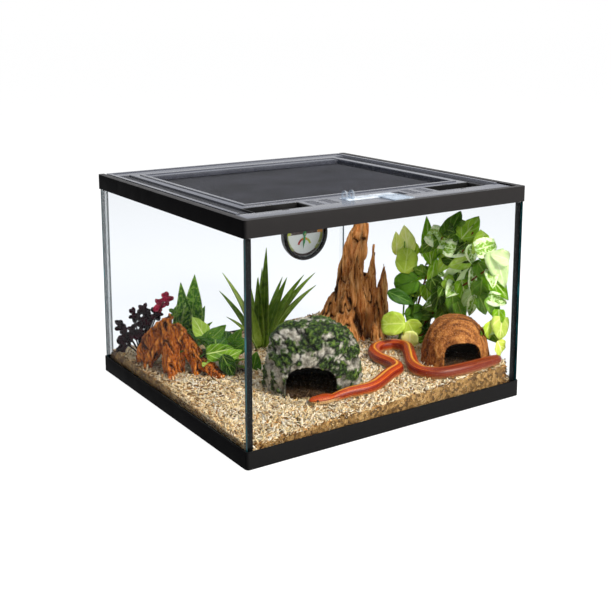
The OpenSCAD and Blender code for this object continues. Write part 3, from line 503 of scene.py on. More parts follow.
def latch_plastic():
    """Clear moulded polycarbonate: a light grey-white body that lets the recess show through."""
    strip_top, loops_start = 309 * MM, 309.6 * MM
    material, tree = new_material("clear polycarbonate, moulded slide")
    place = add_node(tree, "TexCoord").outputs["Object"]
    cloud = add_node(tree, "TexNoise", {"Vector": place, "Scale": 1 / (9 * MM), "Detail": 2.0})
    hue = blend_stops(tree, cloud, ((0.3, "#aab4c0"), (0.65, "#dfe6ee")))
    body = add_node(tree, "BsdfPrincipled", {
        "Base Color": hue, "Roughness": 0.22, "Specular IOR Level": 0.3})
    through = add_node(tree, "BsdfTransparent", {"Color": "#e8eef4"})
    height = add_node(tree, "SeparateXYZ", {0: place}).outputs[2]
    # the loops and the thumb plate are thin, so more shows through them than through the strip
    share = add_node(tree, "MapRange", {
        "Value": height, "From Min": strip_top, "From Max": loops_start, "To Min": 0.66, "To Max": 0.2})
    shader = add_node(tree, "MixShader", {0: share, 1: through, 2: body})
    add_node(tree, "OutputMaterial", {"Surface": shader})
    return material


eased("clear_latch", "latch_slide", "latch", latch_plastic(), 0.4)


# ---------------------------------------------------------------- dial gauge

# the middle of the dial, across and up, in millimetres
GAUGE = (136.0, 177.0)


def dial_ring(name, inner, outer, start, stop, y, material, thick=0.12, steps=24, drop=0.0):
    """A flat arc on the dial, in millimetres; angles are clockwise from the top, and y is its front face."""
    points = []
    faces = []
    for i in range(steps + 1):
        angle = math.radians(start + (stop - start) * i / steps)
        for radius in (inner, outer):
            for depth in (0, thick):
                points.append((GAUGE[0] + radius * math.sin(angle), y + depth,
                               GAUGE[1] - drop + radius * math.cos(angle)))
    for i in range(steps):
        a = 4 * i
        b = a + 4
        faces += [
            (a, a + 2, b + 2, b), (a + 1, b + 1, b + 3, a + 3), (a, b, b + 1, a + 1),
            (a + 2, a + 3, b + 3, b + 2)]
    faces += [(0, 1, 3, 2), (4 * steps, 4 * steps + 2, 4 * steps + 3, 4 * steps + 1)]
    ring = recalculated(mesh_piece(name, points, faces))
    ring.data.materials.append(material)
    return ring


def printed(name, colour, rough=0.4):
    """Screen-printed ink on the dial, slightly uneven."""
    material, tree = new_material(name)
    place = add_node(tree, "TexCoord").outputs["Object"]
    fade = add_node(tree, "TexNoise", {"Vector": place, "Scale": 1 / (3 * MM), "Detail": 2.0})
    soft = add_node(tree, "MapRange", {"Value": fade, "To Min": 0.0, "To Max": 0.1})
    hue = add_node(tree, "Mix", {0: soft, 6: colour, 7: "#f0f0ea"}, data_type="RGBA")
    shader = add_node(tree, "BsdfPrincipled", {
        "Base Color": hue, "Roughness": rough, "Specular IOR Level": 0.12})
    add_node(tree, "OutputMaterial", {"Surface": shader})
    return material


def dial_number(i, angle, face, ink):
    """A plain number printed on the dial at an angle clockwise from the top."""
    reach = 33.8
    data = bpy.data.curves.new("number_%d" % i, "FONT")
    data.body = str(20 * i)
    data.size = 5.2 * MM
    data.extrude = 0.05 * MM
    data.align_x = "CENTER"
    data.align_y = "CENTER"
    number = bpy.data.objects.new("number_%d" % i, data)
    bpy.context.scene.collection.objects.link(number)
    number.rotation_euler = (math.radians(90), 0, 0)
    number.location = (MM * (GAUGE[0] + reach * math.sin(angle)), MM * (face - 0.1),
                       MM * (GAUGE[1] + reach * math.cos(angle)))
    choose(number)
    bpy.ops.object.convert(target="MESH")
    number = bpy.context.object
    number.data.materials.clear()
    number.data.materials.append(ink)
    return number


def make_gauge():
    """Bezel, face with coloured bands, ticks and plain numbers, and the clear window."""
    bezel = moulded("black ABS bezel, polished", "#050607", 0.22, depth=0.03, wear="#0c0d0f", shine=0.35)
    eased("gauge_ring", "gauge_bezel", "tank", bezel, 0.4)
    eased("gauge_shell", "gauge_case", "tank", bezel, 0.3)
    paint_node("gauge_pad", printed("white polyethylene foam", "#e4e4de", 0.9))
    paint_node("gauge_spindle", printed("turned brass", "#b9a05c", 0.3))
    paint_node("temperature_coil", printed("bimetal strip", "#a8824a", 0.3))
    paint_node("humidity_coil", printed("coated strip", "#8f8f8a", 0.5))
    paint_node("gauge_dial", printed("aluminium dial, painted pale grey", "#dbe2e6", 0.5))
    paint_node("gauge_lens", clear_sheet("clear acrylic window", "#feffff", None, 1, 0.02, 0.006))
    hand = printed("green enamel", "#0f8a4a", 0.35)
    paint_node("temperature_hand", hand)
    paint_node("humidity_hand", hand)
    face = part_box("gauge_dial")[0].y / MM - 0.13
    inks = {
        "maroon": "#2c1216", "lime": "#a8b428", "red": "#a32018", "amber": "#d8902a", "black": "#141414",
        "olive": "#8c9a48", "pale": "#dfe4e2"}
    inks = {key: printed("printed ink, " + key, value) for key, value in inks.items()}
    # inner and outer radius, start and stop angle, ink, and how far the arc's middle lies below the dial's
    bands = [
        (3, 38.5, -90, 90, "maroon", 0), (27.5, 38.5, -90, -66, "lime", 0),
        (27.5, 38.5, 66, 90, "amber", 0), (27.5, 38.5, -20, 6, "red", 0), (33, 38.5, 90, 140, "olive", 0),
        (33, 38.5, -140, -90, "olive", 0), (10, 14, -80, -26, "red", 20), (10, 14, -26, 26, "amber", 20),
        (10, 14, 26, 80, "lime", 20), (39.2, 39.9, 0, 360, "black", 0), (34.5, 38.5, 140, 220, "maroon", 0)]
    rings = []
    for i, (inner, outer, start, stop, ink, drop) in enumerate(bands):
        level = face - 0.02 if i > 0 else face
        rings.append(dial_ring("dial_band_%d" % i, inner, outer, start, stop, level, inks[ink], drop=drop))
    first_tick = -125
    half_tick = 0.7
    for i in range(26):
        angle = first_tick + 10 * i
        inner, outer = (24.5, 30.5) if i % 5 == 0 else (26, 28.6)
        rings.append(dial_ring(
            "dial_tick_%d" % i, inner, outer, angle - half_tick, angle + half_tick, face - 0.14,
            inks["pale"], 0.1, 1))
    for i in range(6):
        rings.append(dial_number(i, math.radians(first_tick + 50 * i), face, inks["pale"]))
    prints = joined(rings, "dial_print")
    settle(prints, "tank", None, smooth=0)


make_gauge()


# ---------------------------------------------------------------- bedding

def solid_tree(node):
    """Ray-casting tree of a solid."""
    data = nodes[node].data
    return BVHTree.FromPolygons([v.co for v in data.vertices], [p.vertices for p in data.polygons])


BED = solid_tree("substrate")
BED_LEVEL = 24.0


def bed_height(x, y):
    """Height of the bedding in millimetres at a place in millimetres."""
    hit = BED.ray_cast(Vector((x, y, 900)) * MM, Vector((0, 0, -1)))[0]
    return hit.z / MM if hit else BED_LEVEL


def bedding_material():
    """Aspen shavings: cream to tan strips, each of its own tone and painted shade, with fine grain along the
    strip.
    """
    material, tree = new_material("aspen shavings")
    tone = add_node(tree, "Attribute", attribute_name="tone").outputs["Fac"]
    # the tone values carry painted shade too, down to near black under the hides
    hue = blend_stops(tree, tone, (
        (0.0, "#1c1007"), (0.05, "#644419"), (0.16, "#b8823f"), (0.38, "#ecd09a"), (0.7, "#feedc8"),
        (1.0, "#fffaec")))
    grid = add_node(tree, "UVMap").outputs["UV"]
    stretch = add_node(tree, "Mapping", {"Vector": grid, "Scale": (1.5, 9, 1)})
    grain = add_node(tree, "TexNoise", {"Vector": stretch, "Scale": 2.5, "Detail": 3.0})
    dark = add_node(tree, "MapRange", {
        "Value": grain, "From Min": 0.35, "From Max": 0.7, "To Min": 0.28, "To Max": 0.0})
    paint = add_node(tree, "Mix", {0: dark, 6: hue, 7: "#a9783f"}, data_type="RGBA")
    shader = add_node(tree, "BsdfPrincipled", {
        "Base Color": paint, "Roughness": 0.8, "Subsurface Weight": 0.1,
        "Subsurface Radius": (0.002, 0.0014, 0.0008), "Subsurface Scale": 1.0})
    add_node(tree, "OutputMaterial", {"Surface": shader})
    return material


def chip_shape(length, width, curl):
    """One shaving: a thin strip of lens section, curled up at its ends, at the origin."""
    thick = 0.35
    rings = []
    for t in (-0.5, 0.0, 0.5):
        angle = curl * t
        reach = length * (math.sin(angle) / curl if abs(curl) > 0.05 else t)
        rise = length * ((1 - math.cos(angle)) / curl if abs(curl) > 0.05 else 0)
        half = width / 2 * (1 - 0.45 * abs(2 * t))
        rings.append([
            (reach, -half, rise), (reach, 0, rise + thick), (reach, half, rise), (reach, 0, rise - thick)])
    return np.array(rings).reshape(-1, 3)


CHIP_FACES = tube_faces(3, 4)

# each hide's middle and its reach across and behind the middle, in millimetres
ROCK = (-52, -96, 69, 54)
BARK = (168.2, -149.2, 50, 41)
HIDE_TURN = math.radians(-34)


def hide_axes(x, y, hide):
    """A place as distances across and behind the middle of a hide, in millimetres."""
    dx, dy = x - hide[0], y - hide[1]
    return (
        dx * math.cos(HIDE_TURN) + dy * math.sin(HIDE_TURN),
        dy * math.cos(HIDE_TURN) - dx * math.sin(HIDE_TURN))


def under_hide(x, y):
    """Whether a place is inside a hide, where the shavings are painted dark as painted shade."""
    for hide in (ROCK, BARK):
        across, behind = hide_axes(x, y, hide)
        if (across / hide[2]) ** 2 + (behind / hide[3]) ** 2 < 0.8:
            return True
    return False


def bumps(points, size, stretch=(1, 1, 1), octaves=3, offset=0.0):
    """Fractal noise at the points, about -1 to 1; size is in millimetres."""
    grid = points / (np.array(stretch) * size) + offset
    return np.array([noise.fractal(Vector(p), 1.0, 2.0, octaves) for p in grid])


def glass_shade(x, y, patch):
    """How light a shaving at the glass is: patchy painted shade, lighter at the left front, darker at the
    right.
    """
    left_glass, right_part = -215, 60
    # painted shade: shavings at the glass are darker than on the bed, in patches
    shade = 0.26 + 0.6 * patch
    if x < left_glass:
        shade += 0.14 + 0.3 * min(1.0, (40 - y) / 150)
    elif x > right_part:
        shade -= 0.12 * min(1.0, (x - right_part) / 80)
    return min(1.0, max(0.05, shade))


def bed_shade(x, y):
    """How light a shaving on the bed is: painted shade, dark under the hides and darker towards the left
    glass.
    """
    left_part = -202
    if x < left_part:
        return 1 - 0.35 * min(1.0, (left_part - x) / 18)
    return 0.0 if under_hide(x, y) else 1.0


def chips_piece(name, frames, material, seed, at_glass=False):
    """Many shavings in one mesh; frames are (place, x, y, z directions, size)."""
    dice = np.random.default_rng(seed)
    sizes = ((11, 4.0, 1.4), (9, 3.4, 0.5), (13, 2.8, 2.2), (8, 4.8, -0.8), (10, 2.4, 0.2), (7, 3.4, 2.8))
    shapes = [chip_shape(*size) for size in sizes]
    points = []
    tones = []
    patches = bumps(np.array([frame[0] for frame in frames]), 30, octaves=2, offset=6.0)
    for (place, x, y, z, size), patch in zip(frames, patches):
        shape = shapes[dice.integers(len(shapes))] * size
        points.append(np.asarray(place) + shape @ np.array([x, y, z]))
        # painted shade: a shaving's tone is its own random lightness times the painted shade of its place
        shade = glass_shade(*place[:2], patch) if at_glass else bed_shade(*place[:2])
        tones.append(dice.beta(2.2, 1.5) * shade)
    points = np.concatenate(points)
    limit = np.array([GLASS_X, GLASS_Y]) - 0.3
    points[:, :2] = np.clip(points[:, :2], -limit, limit)
    faces = [tuple(12 * i + k for k in face) for i in range(len(frames)) for face in CHIP_FACES]
    piece = mesh_piece(name, points, faces)
    add_values(piece, "tone", np.repeat(np.array(tones, np.float32), 12))
    corner = corner_points(piece)
    along = (corner % 12) // 4 / 2
    across = np.array([0.0, 0.5, 1.0, 0.5])[corner % 4]
    shift = (corner // 12) * 0.37 % 7
    add_uvs(piece, np.stack([along + shift, across + shift * 3], 1))
    return settle(piece, "tank", [material], smooth=180)


def packed_shavings():
    """The bed under the loose shavings: flakes in darker wood colours, with gaps between them."""
    material, tree = new_material("packed aspen shavings")
    place = add_node(tree, "TexCoord").outputs["Object"]
    flakes = add_node(tree, "TexVoronoi", {"Vector": place, "Scale": 1 / (4 * MM)})
    flake = add_node(tree, "SeparateColor", {0: flakes.outputs["Color"]})
    hue = blend_stops(tree, flake, ((0.0, "#452e15"), (0.5, "#82602f"), (1.0, "#b28d55")))
    bump = add_node(tree, "Bump", {"Height": flakes, "Strength": 0.8, "Distance": 0.001})
    shader = add_node(tree, "BsdfPrincipled", {"Base Color": hue, "Roughness": 0.85, "Normal": bump})
    add_node(tree, "OutputMaterial", {"Surface": shader})
    return material


def make_bedding():
    """Loose shavings over the bedding's surface and against the glass."""
    material = bedding_material()
    dice = np.random.default_rng(11)
    edge_x, edge_y = GLASS_X - 2.2, GLASS_Y - 2.2
    face_x, face_y = GLASS_X - 1.3, GLASS_Y - 1.3
    bed_x, bed_y = GLASS_X - 4.2, GLASS_Y - 4.2

    def turned(normal, spin, tilt):
        """Directions of a chip that lies across a normal, spun about it and tipped."""
        z = Vector(normal)
        x = z.orthogonal().normalized()
        x = Matrix.Rotation(spin, 3, z) @ x
        y = z.cross(x)
        tip = Matrix.Rotation(tilt, 3, x if dice.random() < 0.5 else y)
        return [tip @ x, tip @ y, tip @ z]

    parted, end = -60, 212
    halves = (("shavings_front", -end, parted, 9000), ("shavings_back", parted, end, 8400))
    for name, low, high, count in halves:
        frames = []
        for _ in range(count):
            x = dice.uniform(-edge_x, edge_x)
            y = dice.uniform(low, high)
            z = bed_height(x, y) + dice.uniform(-0.8, 2.2)
            frames.append(((x, y, z), *turned((0, 0, 1), dice.uniform(0, TAU), dice.normal(0, 0.42)),
                           dice.uniform(0.7, 1.25)))
        chips_piece(name, frames, material, 5)
    frames = []
    foot = 14.5
    for _ in range(5200):
        side = dice.integers(4)
        along = dice.uniform(-1, 1)
        sign = 1 if side % 2 else -1
        if side < 2:
            x, y, normal = sign * face_x, along * edge_y, (sign, 0, 0)
        else:
            x, y, normal = along * edge_x, sign * face_y, (0, sign, 0)
        top = bed_height(max(-bed_x, min(bed_x, x)), max(-bed_y, min(bed_y, y)))
        z = dice.uniform(foot, top + 0.6)
        frames.append((
            (x, y, z), *turned(normal, dice.uniform(0, TAU), dice.normal(0, 0.2)), dice.uniform(0.7, 1.1)))
    chips_piece("shavings_at_glass", frames, material, 9, at_glass=True)
    paint_node("substrate", packed_shavings())


make_bedding()


# ---------------------------------------------------------------- rock and bark hides

def remeshed(piece, voxel_mm):
    """Rebuilds a closed piece in even small faces."""
    modifier = piece.modifiers.new("remesh", "REMESH")
    modifier.mode = "VOXEL"
    modifier.voxel_size = voxel_mm * MM
    modifier.use_smooth_shade = True
    apply_all(piece)
    return piece


def read_points(piece):
    """The piece's points and normals as arrays, in millimetres."""
    mesh = piece.data
    points = np.zeros(len(mesh.vertices) * 3)
    mesh.vertices.foreach_get("co", points)
    normals = np.zeros(len(mesh.vertices) * 3)
    mesh.vertices.foreach_get("normal", normals)
    return points.reshape(-1, 3) / MM, normals.reshape(-1, 3)


def write_points(piece, points):
    """Sets the piece's points from an array in millimetres."""
    piece.data.vertices.foreach_set("co", (np.asarray(points) * MM).ravel())
    piece.data.update()


def inside_share(points, normals, centre):
    """1 on the walls that face a hide's middle, 0 on its outside, and between them at the mouth's rim."""
    away = points - np.array(centre, float)
    outward = np.einsum("ij,ij->i", normals, away / np.linalg.norm(away, axis=1)[:, None])
    return np.clip(0.1 - outward * 4, 0, 1)


def rock_resin():
    """Cast resin: grey, blotched stone with dark cracks, and matt green moss in clumps with painted shade
    between them.
    """
    material, tree = new_material("cast resin rock with painted moss")
    place = add_node(tree, "TexCoord").outputs["Object"]
    coarse = add_node(tree, "TexNoise", {
        "Vector": place, "Scale": 1 / (11 * MM), "Detail": 6.0, "Roughness": 0.7})
    stone = blend_stops(tree, coarse, (
        (0.30, "#3e382e"), (0.42, "#837e71"), (0.52, "#aea99c"), (0.64, "#d6d1c6"), (0.8, "#a09a8b")))
    fine = add_node(tree, "TexNoise", {
        "Vector": place, "Scale": 1 / (1.6 * MM), "Detail": 4.0, "Roughness": 0.7})
    height = add_node(tree, "Attribute", attribute_name="fuzz").outputs["Fac"]
    # painted shade: the moss is darker where it is lower, between the clumps
    clump = add_node(tree, "Mix", {0: 0.4, 2: height, 3: fine})
    leaf = blend_stops(tree, clump, (
        (0.3, "#070d03"), (0.45, "#1a2a0b"), (0.58, "#365018"), (0.78, "#6c8232")))
    cover = add_node(tree, "Attribute", attribute_name="moss").outputs["Fac"]
    mixed = add_node(tree, "Mix", {0: cover, 6: stone, 7: leaf}, data_type="RGBA")
    # the crack values also carry painted shade: the hide's inside is painted as dark as the cracks
    deep = add_node(tree, "Attribute", attribute_name="crack").outputs["Fac"]
    deep = add_node(tree, "Math", {0: deep, 1: 0.9}, operation="MULTIPLY")
    paint = add_node(tree, "Mix", {0: deep, 6: mixed, 7: "#0c0a07"}, data_type="RGBA")
    bump = add_node(tree, "Bump", {"Height": fine, "Strength": 0.8, "Distance": 0.0014})
    shader = add_node(tree, "BsdfPrincipled", {
        "Base Color": paint, "Roughness": 0.78, "Specular IOR Level": 0.3, "Normal": bump})
    add_node(tree, "OutputMaterial", {"Surface": shader})
    return material


def make_rock():
    """Hollow cast rock: ledges, cracks and patches of moss; its inside is painted dark as painted shade."""
    rock = remeshed(node_copy("mossy_rock_hide", "rock_hide"), 1.9)
    points, normals = read_points(rock)
    inner = inside_share(points, normals, (ROCK[0], ROCK[1], 40))
    ledge = bumps(points, 26, (1, 1, 0.55), 2)
    crack = np.exp(-(bumps(points, 34, (1, 1, 0.8), 2, 7.3) / 0.05) ** 2)
    fine_crack = np.exp(-(bumps(points, 15, (1, 1, 0.7), 2, 3.1) / 0.06) ** 2)
    rough = bumps(points, 7, octaves=4)
    tufts = bumps(points, 6, octaves=2, offset=2.0)
    moss = bumps(points, 24, (1, 1, 0.8), 3, 11.7) + 0.3 * normals[:, 2] + 0.3 * tufts
    moss = np.clip((moss + 0.03) / 0.16, 0, 1) * (1 - inner)
    fuzz = bumps(points, 3.6, octaves=2, offset=5.0)
    terraces = 3.0 * np.round(ledge * 3) / 3
    pile = moss * (1.6 + 2.0 * fuzz)
    move = terraces - 3.6 * crack - 1.7 * fine_crack + 1.3 * rough + pile - 1.2
    write_points(rock, points + normals * (move * (1 - inner))[:, None])
    add_values(rock, "moss", moss)
    # the moss height, which the material also turns into painted shade between the clumps
    add_values(rock, "fuzz", np.clip(0.5 + 0.75 * fuzz, 0, 1))
    # painted shade: the inside walls are painted dark through the crack values
    dark = np.maximum(crack + 0.7 * fine_crack - 0.5 * ledge, inner * 1.3)
    add_values(rock, "crack", np.clip(dark, 0, 1))
    settle(rock, "tank", [rock_resin()], ("rock_hide",), smooth=180)


make_rock()


def wood_material(name, stops, stretch, crack_colour, rough):
    """Weathered wood: fibres along the grain, dark cracks, and painted shade in the grooves, so the ridges
    look lighter.
    """
    grain_mm = 4
    material, tree = new_material(name)
    place = add_node(tree, "TexCoord").outputs["Object"]
    along = add_node(tree, "Mapping", {"Vector": place, "Scale": stretch})
    fibre = add_node(tree, "TexNoise", {
        "Vector": along, "Scale": 1 / (grain_mm * MM), "Detail": 5.0, "Roughness": 0.65})
    hue = blend_stops(tree, fibre, stops)
    # the crack values carry the dark splits and the painted shade in grooves and hollows
    deep = add_node(tree, "Attribute", attribute_name="crack").outputs["Fac"]
    paint = add_node(tree, "Mix", {0: deep, 6: hue, 7: crack_colour}, data_type="RGBA")
    bump = add_node(tree, "Bump", {"Height": fibre, "Strength": 0.8, "Distance": 0.001})
    shader = add_node(tree, "BsdfPrincipled", {
        "Base Color": paint, "Roughness": rough, "Specular IOR Level": 0.12, "Normal": bump})
    add_node(tree, "OutputMaterial", {"Surface": shader})
    return material


def cork_bark():
    """Cork bark: rough, flaked and matt, from nearly black in the cracks and the painted-shade inside to
    pale tan on the ridges.
    """
    material, tree = new_material("cork bark")
    place = add_node(tree, "TexCoord").outputs["Object"]
    speck = add_node(tree, "TexNoise", {
        "Vector": place, "Scale": 1 / (2.2 * MM), "Detail": 4.0, "Roughness": 0.7})
    fibre = add_node(tree, "Attribute", attribute_name="fibre").outputs["Fac"]
    value = add_node(tree, "Mix", {0: 0.5, 2: fibre, 3: speck})
    hue = blend_stops(tree, value, (
        (0.32, "#3a1c0a"), (0.42, "#744018"), (0.5, "#9a5d29"), (0.58, "#b97c3e"), (0.7, "#d6a262")))
    # the crack values also carry painted shade: the hide's inside is painted nearly black
    deep = add_node(tree, "Attribute", attribute_name="crack").outputs["Fac"]
    paint = add_node(tree, "Mix", {0: deep, 6: hue, 7: "#120803"}, data_type="RGBA")
    bump = add_node(tree, "Bump", {"Height": speck, "Strength": 0.7, "Distance": 0.001})
    shader = add_node(tree, "BsdfPrincipled", {
        "Base Color": paint, "Roughness": 0.75, "Specular IOR Level": 0.3, "Normal": bump})
    add_node(tree, "OutputMaterial", {"Surface": shader})
    return material


def make_bark():
    """Hollow bark dome: ridges run over its arch, with a long split and a thick pale rim at the mouth."""
    bark = remeshed(node_copy("bark_dome_hide", "bark_hide"), 1.5)
    points, normals = read_points(bark)
    across, behind = hide_axes(points[:, 0], points[:, 1], BARK)
    rise = points[:, 2] - 26.0
    round_it = np.arctan2(rise, across) * 55.0
    arch = np.stack([round_it, behind, 0.3 * np.hypot(across, rise)], axis=1)
    inner = inside_share(points, normals, (BARK[0], BARK[1], 30))
    ridges = bumps(arch, 2.6, (6, 1, 1), 3, 4.0)
    plates = bumps(arch, 11, (1.6, 1, 1), 3, 9.0)
    fine = bumps(points, 2.4, octaves=2, offset=1.0)
    arc = np.stack([round_it, 0 * behind, 0 * rise], axis=1)
    line = behind + 7 + 9 * bumps(arc, 30, octaves=2, offset=3.0)
    split = np.exp(-(line / 1.5) ** 2) * (np.abs(round_it - 86) < 62)
    edge = ((np.abs(across - 6) / 27) ** 2.5 + (np.maximum(rise, 0) / 38) ** 2.5) ** 0.4
    rim = np.clip(1 - np.abs(edge - 1.12) / 0.2, 0, 1) * (behind < -8)
    move = (1.1 * ridges + 1.7 * plates + 0.7 * fine) * (1 - 0.6 * rim) - 3.2 * split - 0.4 + 1.6 * rim
    backwards = np.array([0.56, 0.83, 0.0])
    moved = points + normals * (move * (1 - inner))[:, None]
    write_points(bark, moved - backwards * (2.2 * rim)[:, None])
    # painted shade: the inside walls are painted dark through the crack values
    crack = np.maximum(0.95 * split - 0.3 * plates - 0.2 * ridges, inner * 1.2)
    add_values(bark, "crack", np.clip(crack, 0, 0.97))
    add_values(bark, "fibre", np.clip(0.46 + 0.24 * ridges + 0.1 * plates + 0.16 * fine + 0.1 * rim, 0, 1))
    settle(bark, "tank", [cork_bark()], ("bark_hide",), smooth=180)


make_bark()


# ---------------------------------------------------------------- driftwood

def lofted(name, route, sides, flat=1.0, guide=(0, 0, 1)):
    """A closed tube along (x, y, z, radius) points, in millimetres."""
    route = np.array(route, float)
    points = []
    for i, (x, y, z, radius) in enumerate(route):
        ahead = Vector(route[min(i + 1, len(route) - 1), :3] - route[max(i - 1, 0), :3]).normalized()
        side = ahead.cross(Vector(guide)).normalized()
        up = side.cross(ahead)
        for k in range(sides):
            angle = TAU * k / sides
            across, above = radius * math.cos(angle), radius * flat * math.sin(angle)
            points.append(Vector((x, y, z)) + side * across + up * above)
    return recalculated(mesh_piece(name, points, tube_faces(len(route), sides)))


def smooth_route(points, count):
    """Points along a smooth curve through the given ones."""
    points = np.array(points, float)
    last = len(points) - 1
    out = []
    for i in range(count + 1):
        t = last * i / count
        k = min(int(t), last - 1)
        f = t - k
        a, b, c, d = points[max(k - 1, 0)], points[k], points[k + 1], points[min(k + 2, last)]
        square, cube = 2 * a - 5 * b + 4 * c - d, 3 * b - 3 * c + d - a
        out.append(0.5 * (2 * b + (c - a) * f + square * f * f + cube * f ** 3))
    return np.array(out)


def wood_piece(name, node, part_name, strands, steps, flat, guide, voxel_mm):
    """A wood solid with flattened strands of (x, y, z, radius) points grown into it, as one closed piece."""
    parts = [node_copy(name, node)]
    for i, strand in enumerate(strands):
        parts.append(lofted("%s_%d" % (part_name, i), smooth_route(strand, steps), 10, flat, guide))
    return remeshed(joined(parts, name), voxel_mm)


def make_tall_wood():
    """Upright split driftwood: three jagged prongs with long deep grooves and knots."""
    strands = [
        [(98, 62, 20, 15), (96, 60, 70, 12), (104, 54, 130, 10), (116, 46, 190, 8), (124, 40, 222, 5),
         (127, 38, 230, 1.5)],
        [(120, 40, 20, 16), (122, 38, 90, 13), (130, 34, 160, 10), (138, 31, 205, 7), (141, 29, 226, 2)],
        [(76, 74, 22, 10), (80, 70, 60, 9), (92, 64, 98, 6), (98, 60, 122, 2)],
        [(150, 20, 24, 14), (146, 24, 70, 11), (148, 28, 120, 7), (152, 28, 158, 5), (153, 27, 178, 1.5)],
        [(158, 14, 26, 14), (160, 15, 70, 13), (163, 18, 110, 11), (165, 20, 136, 8), (166, 21, 158, 1.5)],
        [(146, 22, 120, 6), (150, 24, 150, 5), (147, 26, 176, 3), (146, 26, 190, 1.5)],
        [(138, 6, 22, 9), (142, 12, 50, 9), (150, 18, 80, 6), (154, 22, 104, 2)]]
    wood = wood_piece(
        "split_driftwood", "tall_driftwood", "strand", strands, 16, 0.8, (0.83, -0.56, 0.05), 1.9)
    points, normals = read_points(wood)
    twist = points.copy()
    twist[:, 0] += 0.12 * points[:, 2]
    grooves = bumps(twist, 9, (1, 1, 9), 3, 2.0)
    split = np.exp(-(bumps(twist, 13, (1, 1, 8), 2, 6.0) / 0.07) ** 2)
    lumps = bumps(points, 30, (1, 1, 1.6), 2, 8.0)
    fine = bumps(points, 3.5, (1, 1, 6), 2, 4.0)
    move = 2.4 * grooves - 3.8 * split + 2.6 * lumps + 0.6 * fine - 1.0
    # place and radius of each knot and hollow
    hollows = ((100, 46, 134, 5), (96, 52, 120, 4), (121, 20, 66, 9), (140, 20, 150, 4), (112, 40, 90, 5))
    for x, y, z, radius in hollows:
        near = np.linalg.norm((points - (x, y, z)) * (1, 1, 0.55), axis=1)
        move -= 5.5 * np.exp(-(near / radius) ** 2)
    write_points(wood, points + normals * move[:, None])
    # painted shade: the grooves and everything pushed in, such as the knots and hollows, are painted darker,
    # besides the splits
    add_values(wood, "crack", np.clip(1.0 * split - 0.8 * grooves - 0.08 * move - 0.08, 0, 0.95))
    stops = ((0.25, "#55270f"), (0.38, "#a4602c"), (0.50, "#da9454"), (0.63, "#f2b878"), (0.82, "#fcd8a8"))
    material = wood_material("weathered driftwood", stops, (1, 1, 0.12), "#1c0d05", 0.72)
    settle(wood, "tank", [material], ("tall_driftwood",), smooth=180)


def make_root():
    """Twisted orange root: ridged limbs with dark hollows, painted shade in the grooves."""
    strands = [
        [(-204, 138, 36, 9), (-206, 122, 56, 10), (-200, 104, 84, 9), (-186, 88, 104, 7),
         (-176, 80, 112, 2)],
        [(-196, 66, 20, 4), (-195, 68, 40, 7), (-190, 76, 70, 9), (-184, 84, 98, 8), (-180, 88, 116, 2)],
        [(-212, 106, 32, 7), (-206, 98, 50, 9), (-196, 90, 74, 8), (-184, 84, 96, 5)],
        [(-184, 90, 92, 10), (-168, 66, 78, 11), (-154, 48, 52, 9), (-140, 26, 34, 7), (-130, 12, 28, 3)],
        [(-176, 60, 26, 6), (-176, 64, 50, 8), (-176, 74, 74, 8), (-178, 84, 94, 6)],
        [(-160, 40, 26, 7), (-160, 46, 42, 8), (-164, 58, 62, 7), (-170, 70, 80, 5)]]
    root = wood_piece("orange_root", "root_driftwood", "limb", strands, 14, 0.85, (0.3, -0.4, 0.9), 1.7)
    points, normals = read_points(root)
    turned = points.copy()
    turned[:, 0] += 0.35 * points[:, 2]
    turned[:, 1] -= 0.3 * points[:, 2]
    grooves = bumps(turned, 7, (1, 1, 5), 3, 2.0)
    split = np.exp(-(bumps(turned, 11, (1, 1, 4.5), 2, 6.0) / 0.09) ** 2)
    move = 2.6 * grooves - 3.2 * split + 0.8 * bumps(points, 4, (1, 1, 2), 2) - 0.4
    write_points(root, points + normals * move[:, None])
    # painted shade: the grooves are painted darker, besides the splits
    add_values(root, "crack", np.clip(1.05 * split - 1.2 * grooves - 0.04, 0, 0.96))
    stops = ((0.25, "#220d03"), (0.40, "#78360b"), (0.51, "#c4661b"), (0.63, "#f09a3c"), (0.82, "#ffc680"))
    material = wood_material("weathered root, orange", stops, (1, 1, 0.25), "#160a05", 0.65)
    settle(root, "tank", [material], ("root_driftwood",), smooth=180)


make_tall_wood()
make_root()


# ---------------------------------------------------------------- leaves and plants

def outline(kind, u):
    """Half width of a round, heart, lance or blade leaf, as a share, from its stalk at 0 to its tip at 1."""
    if kind == "round":
        return math.sqrt(max(0.0, 1 - (2 * u - 1) ** 2)) ** 0.8
    if kind == "heart":
        return math.sin(math.pi * min(1, u * 0.92 + 0.08) ** 0.6) ** 0.8
    if kind == "lance":
        return math.sin(math.pi * u ** 0.7) ** 0.9
    return (1 - u ** 2.2) * min(1.0, 0.55 + u * 2.2)


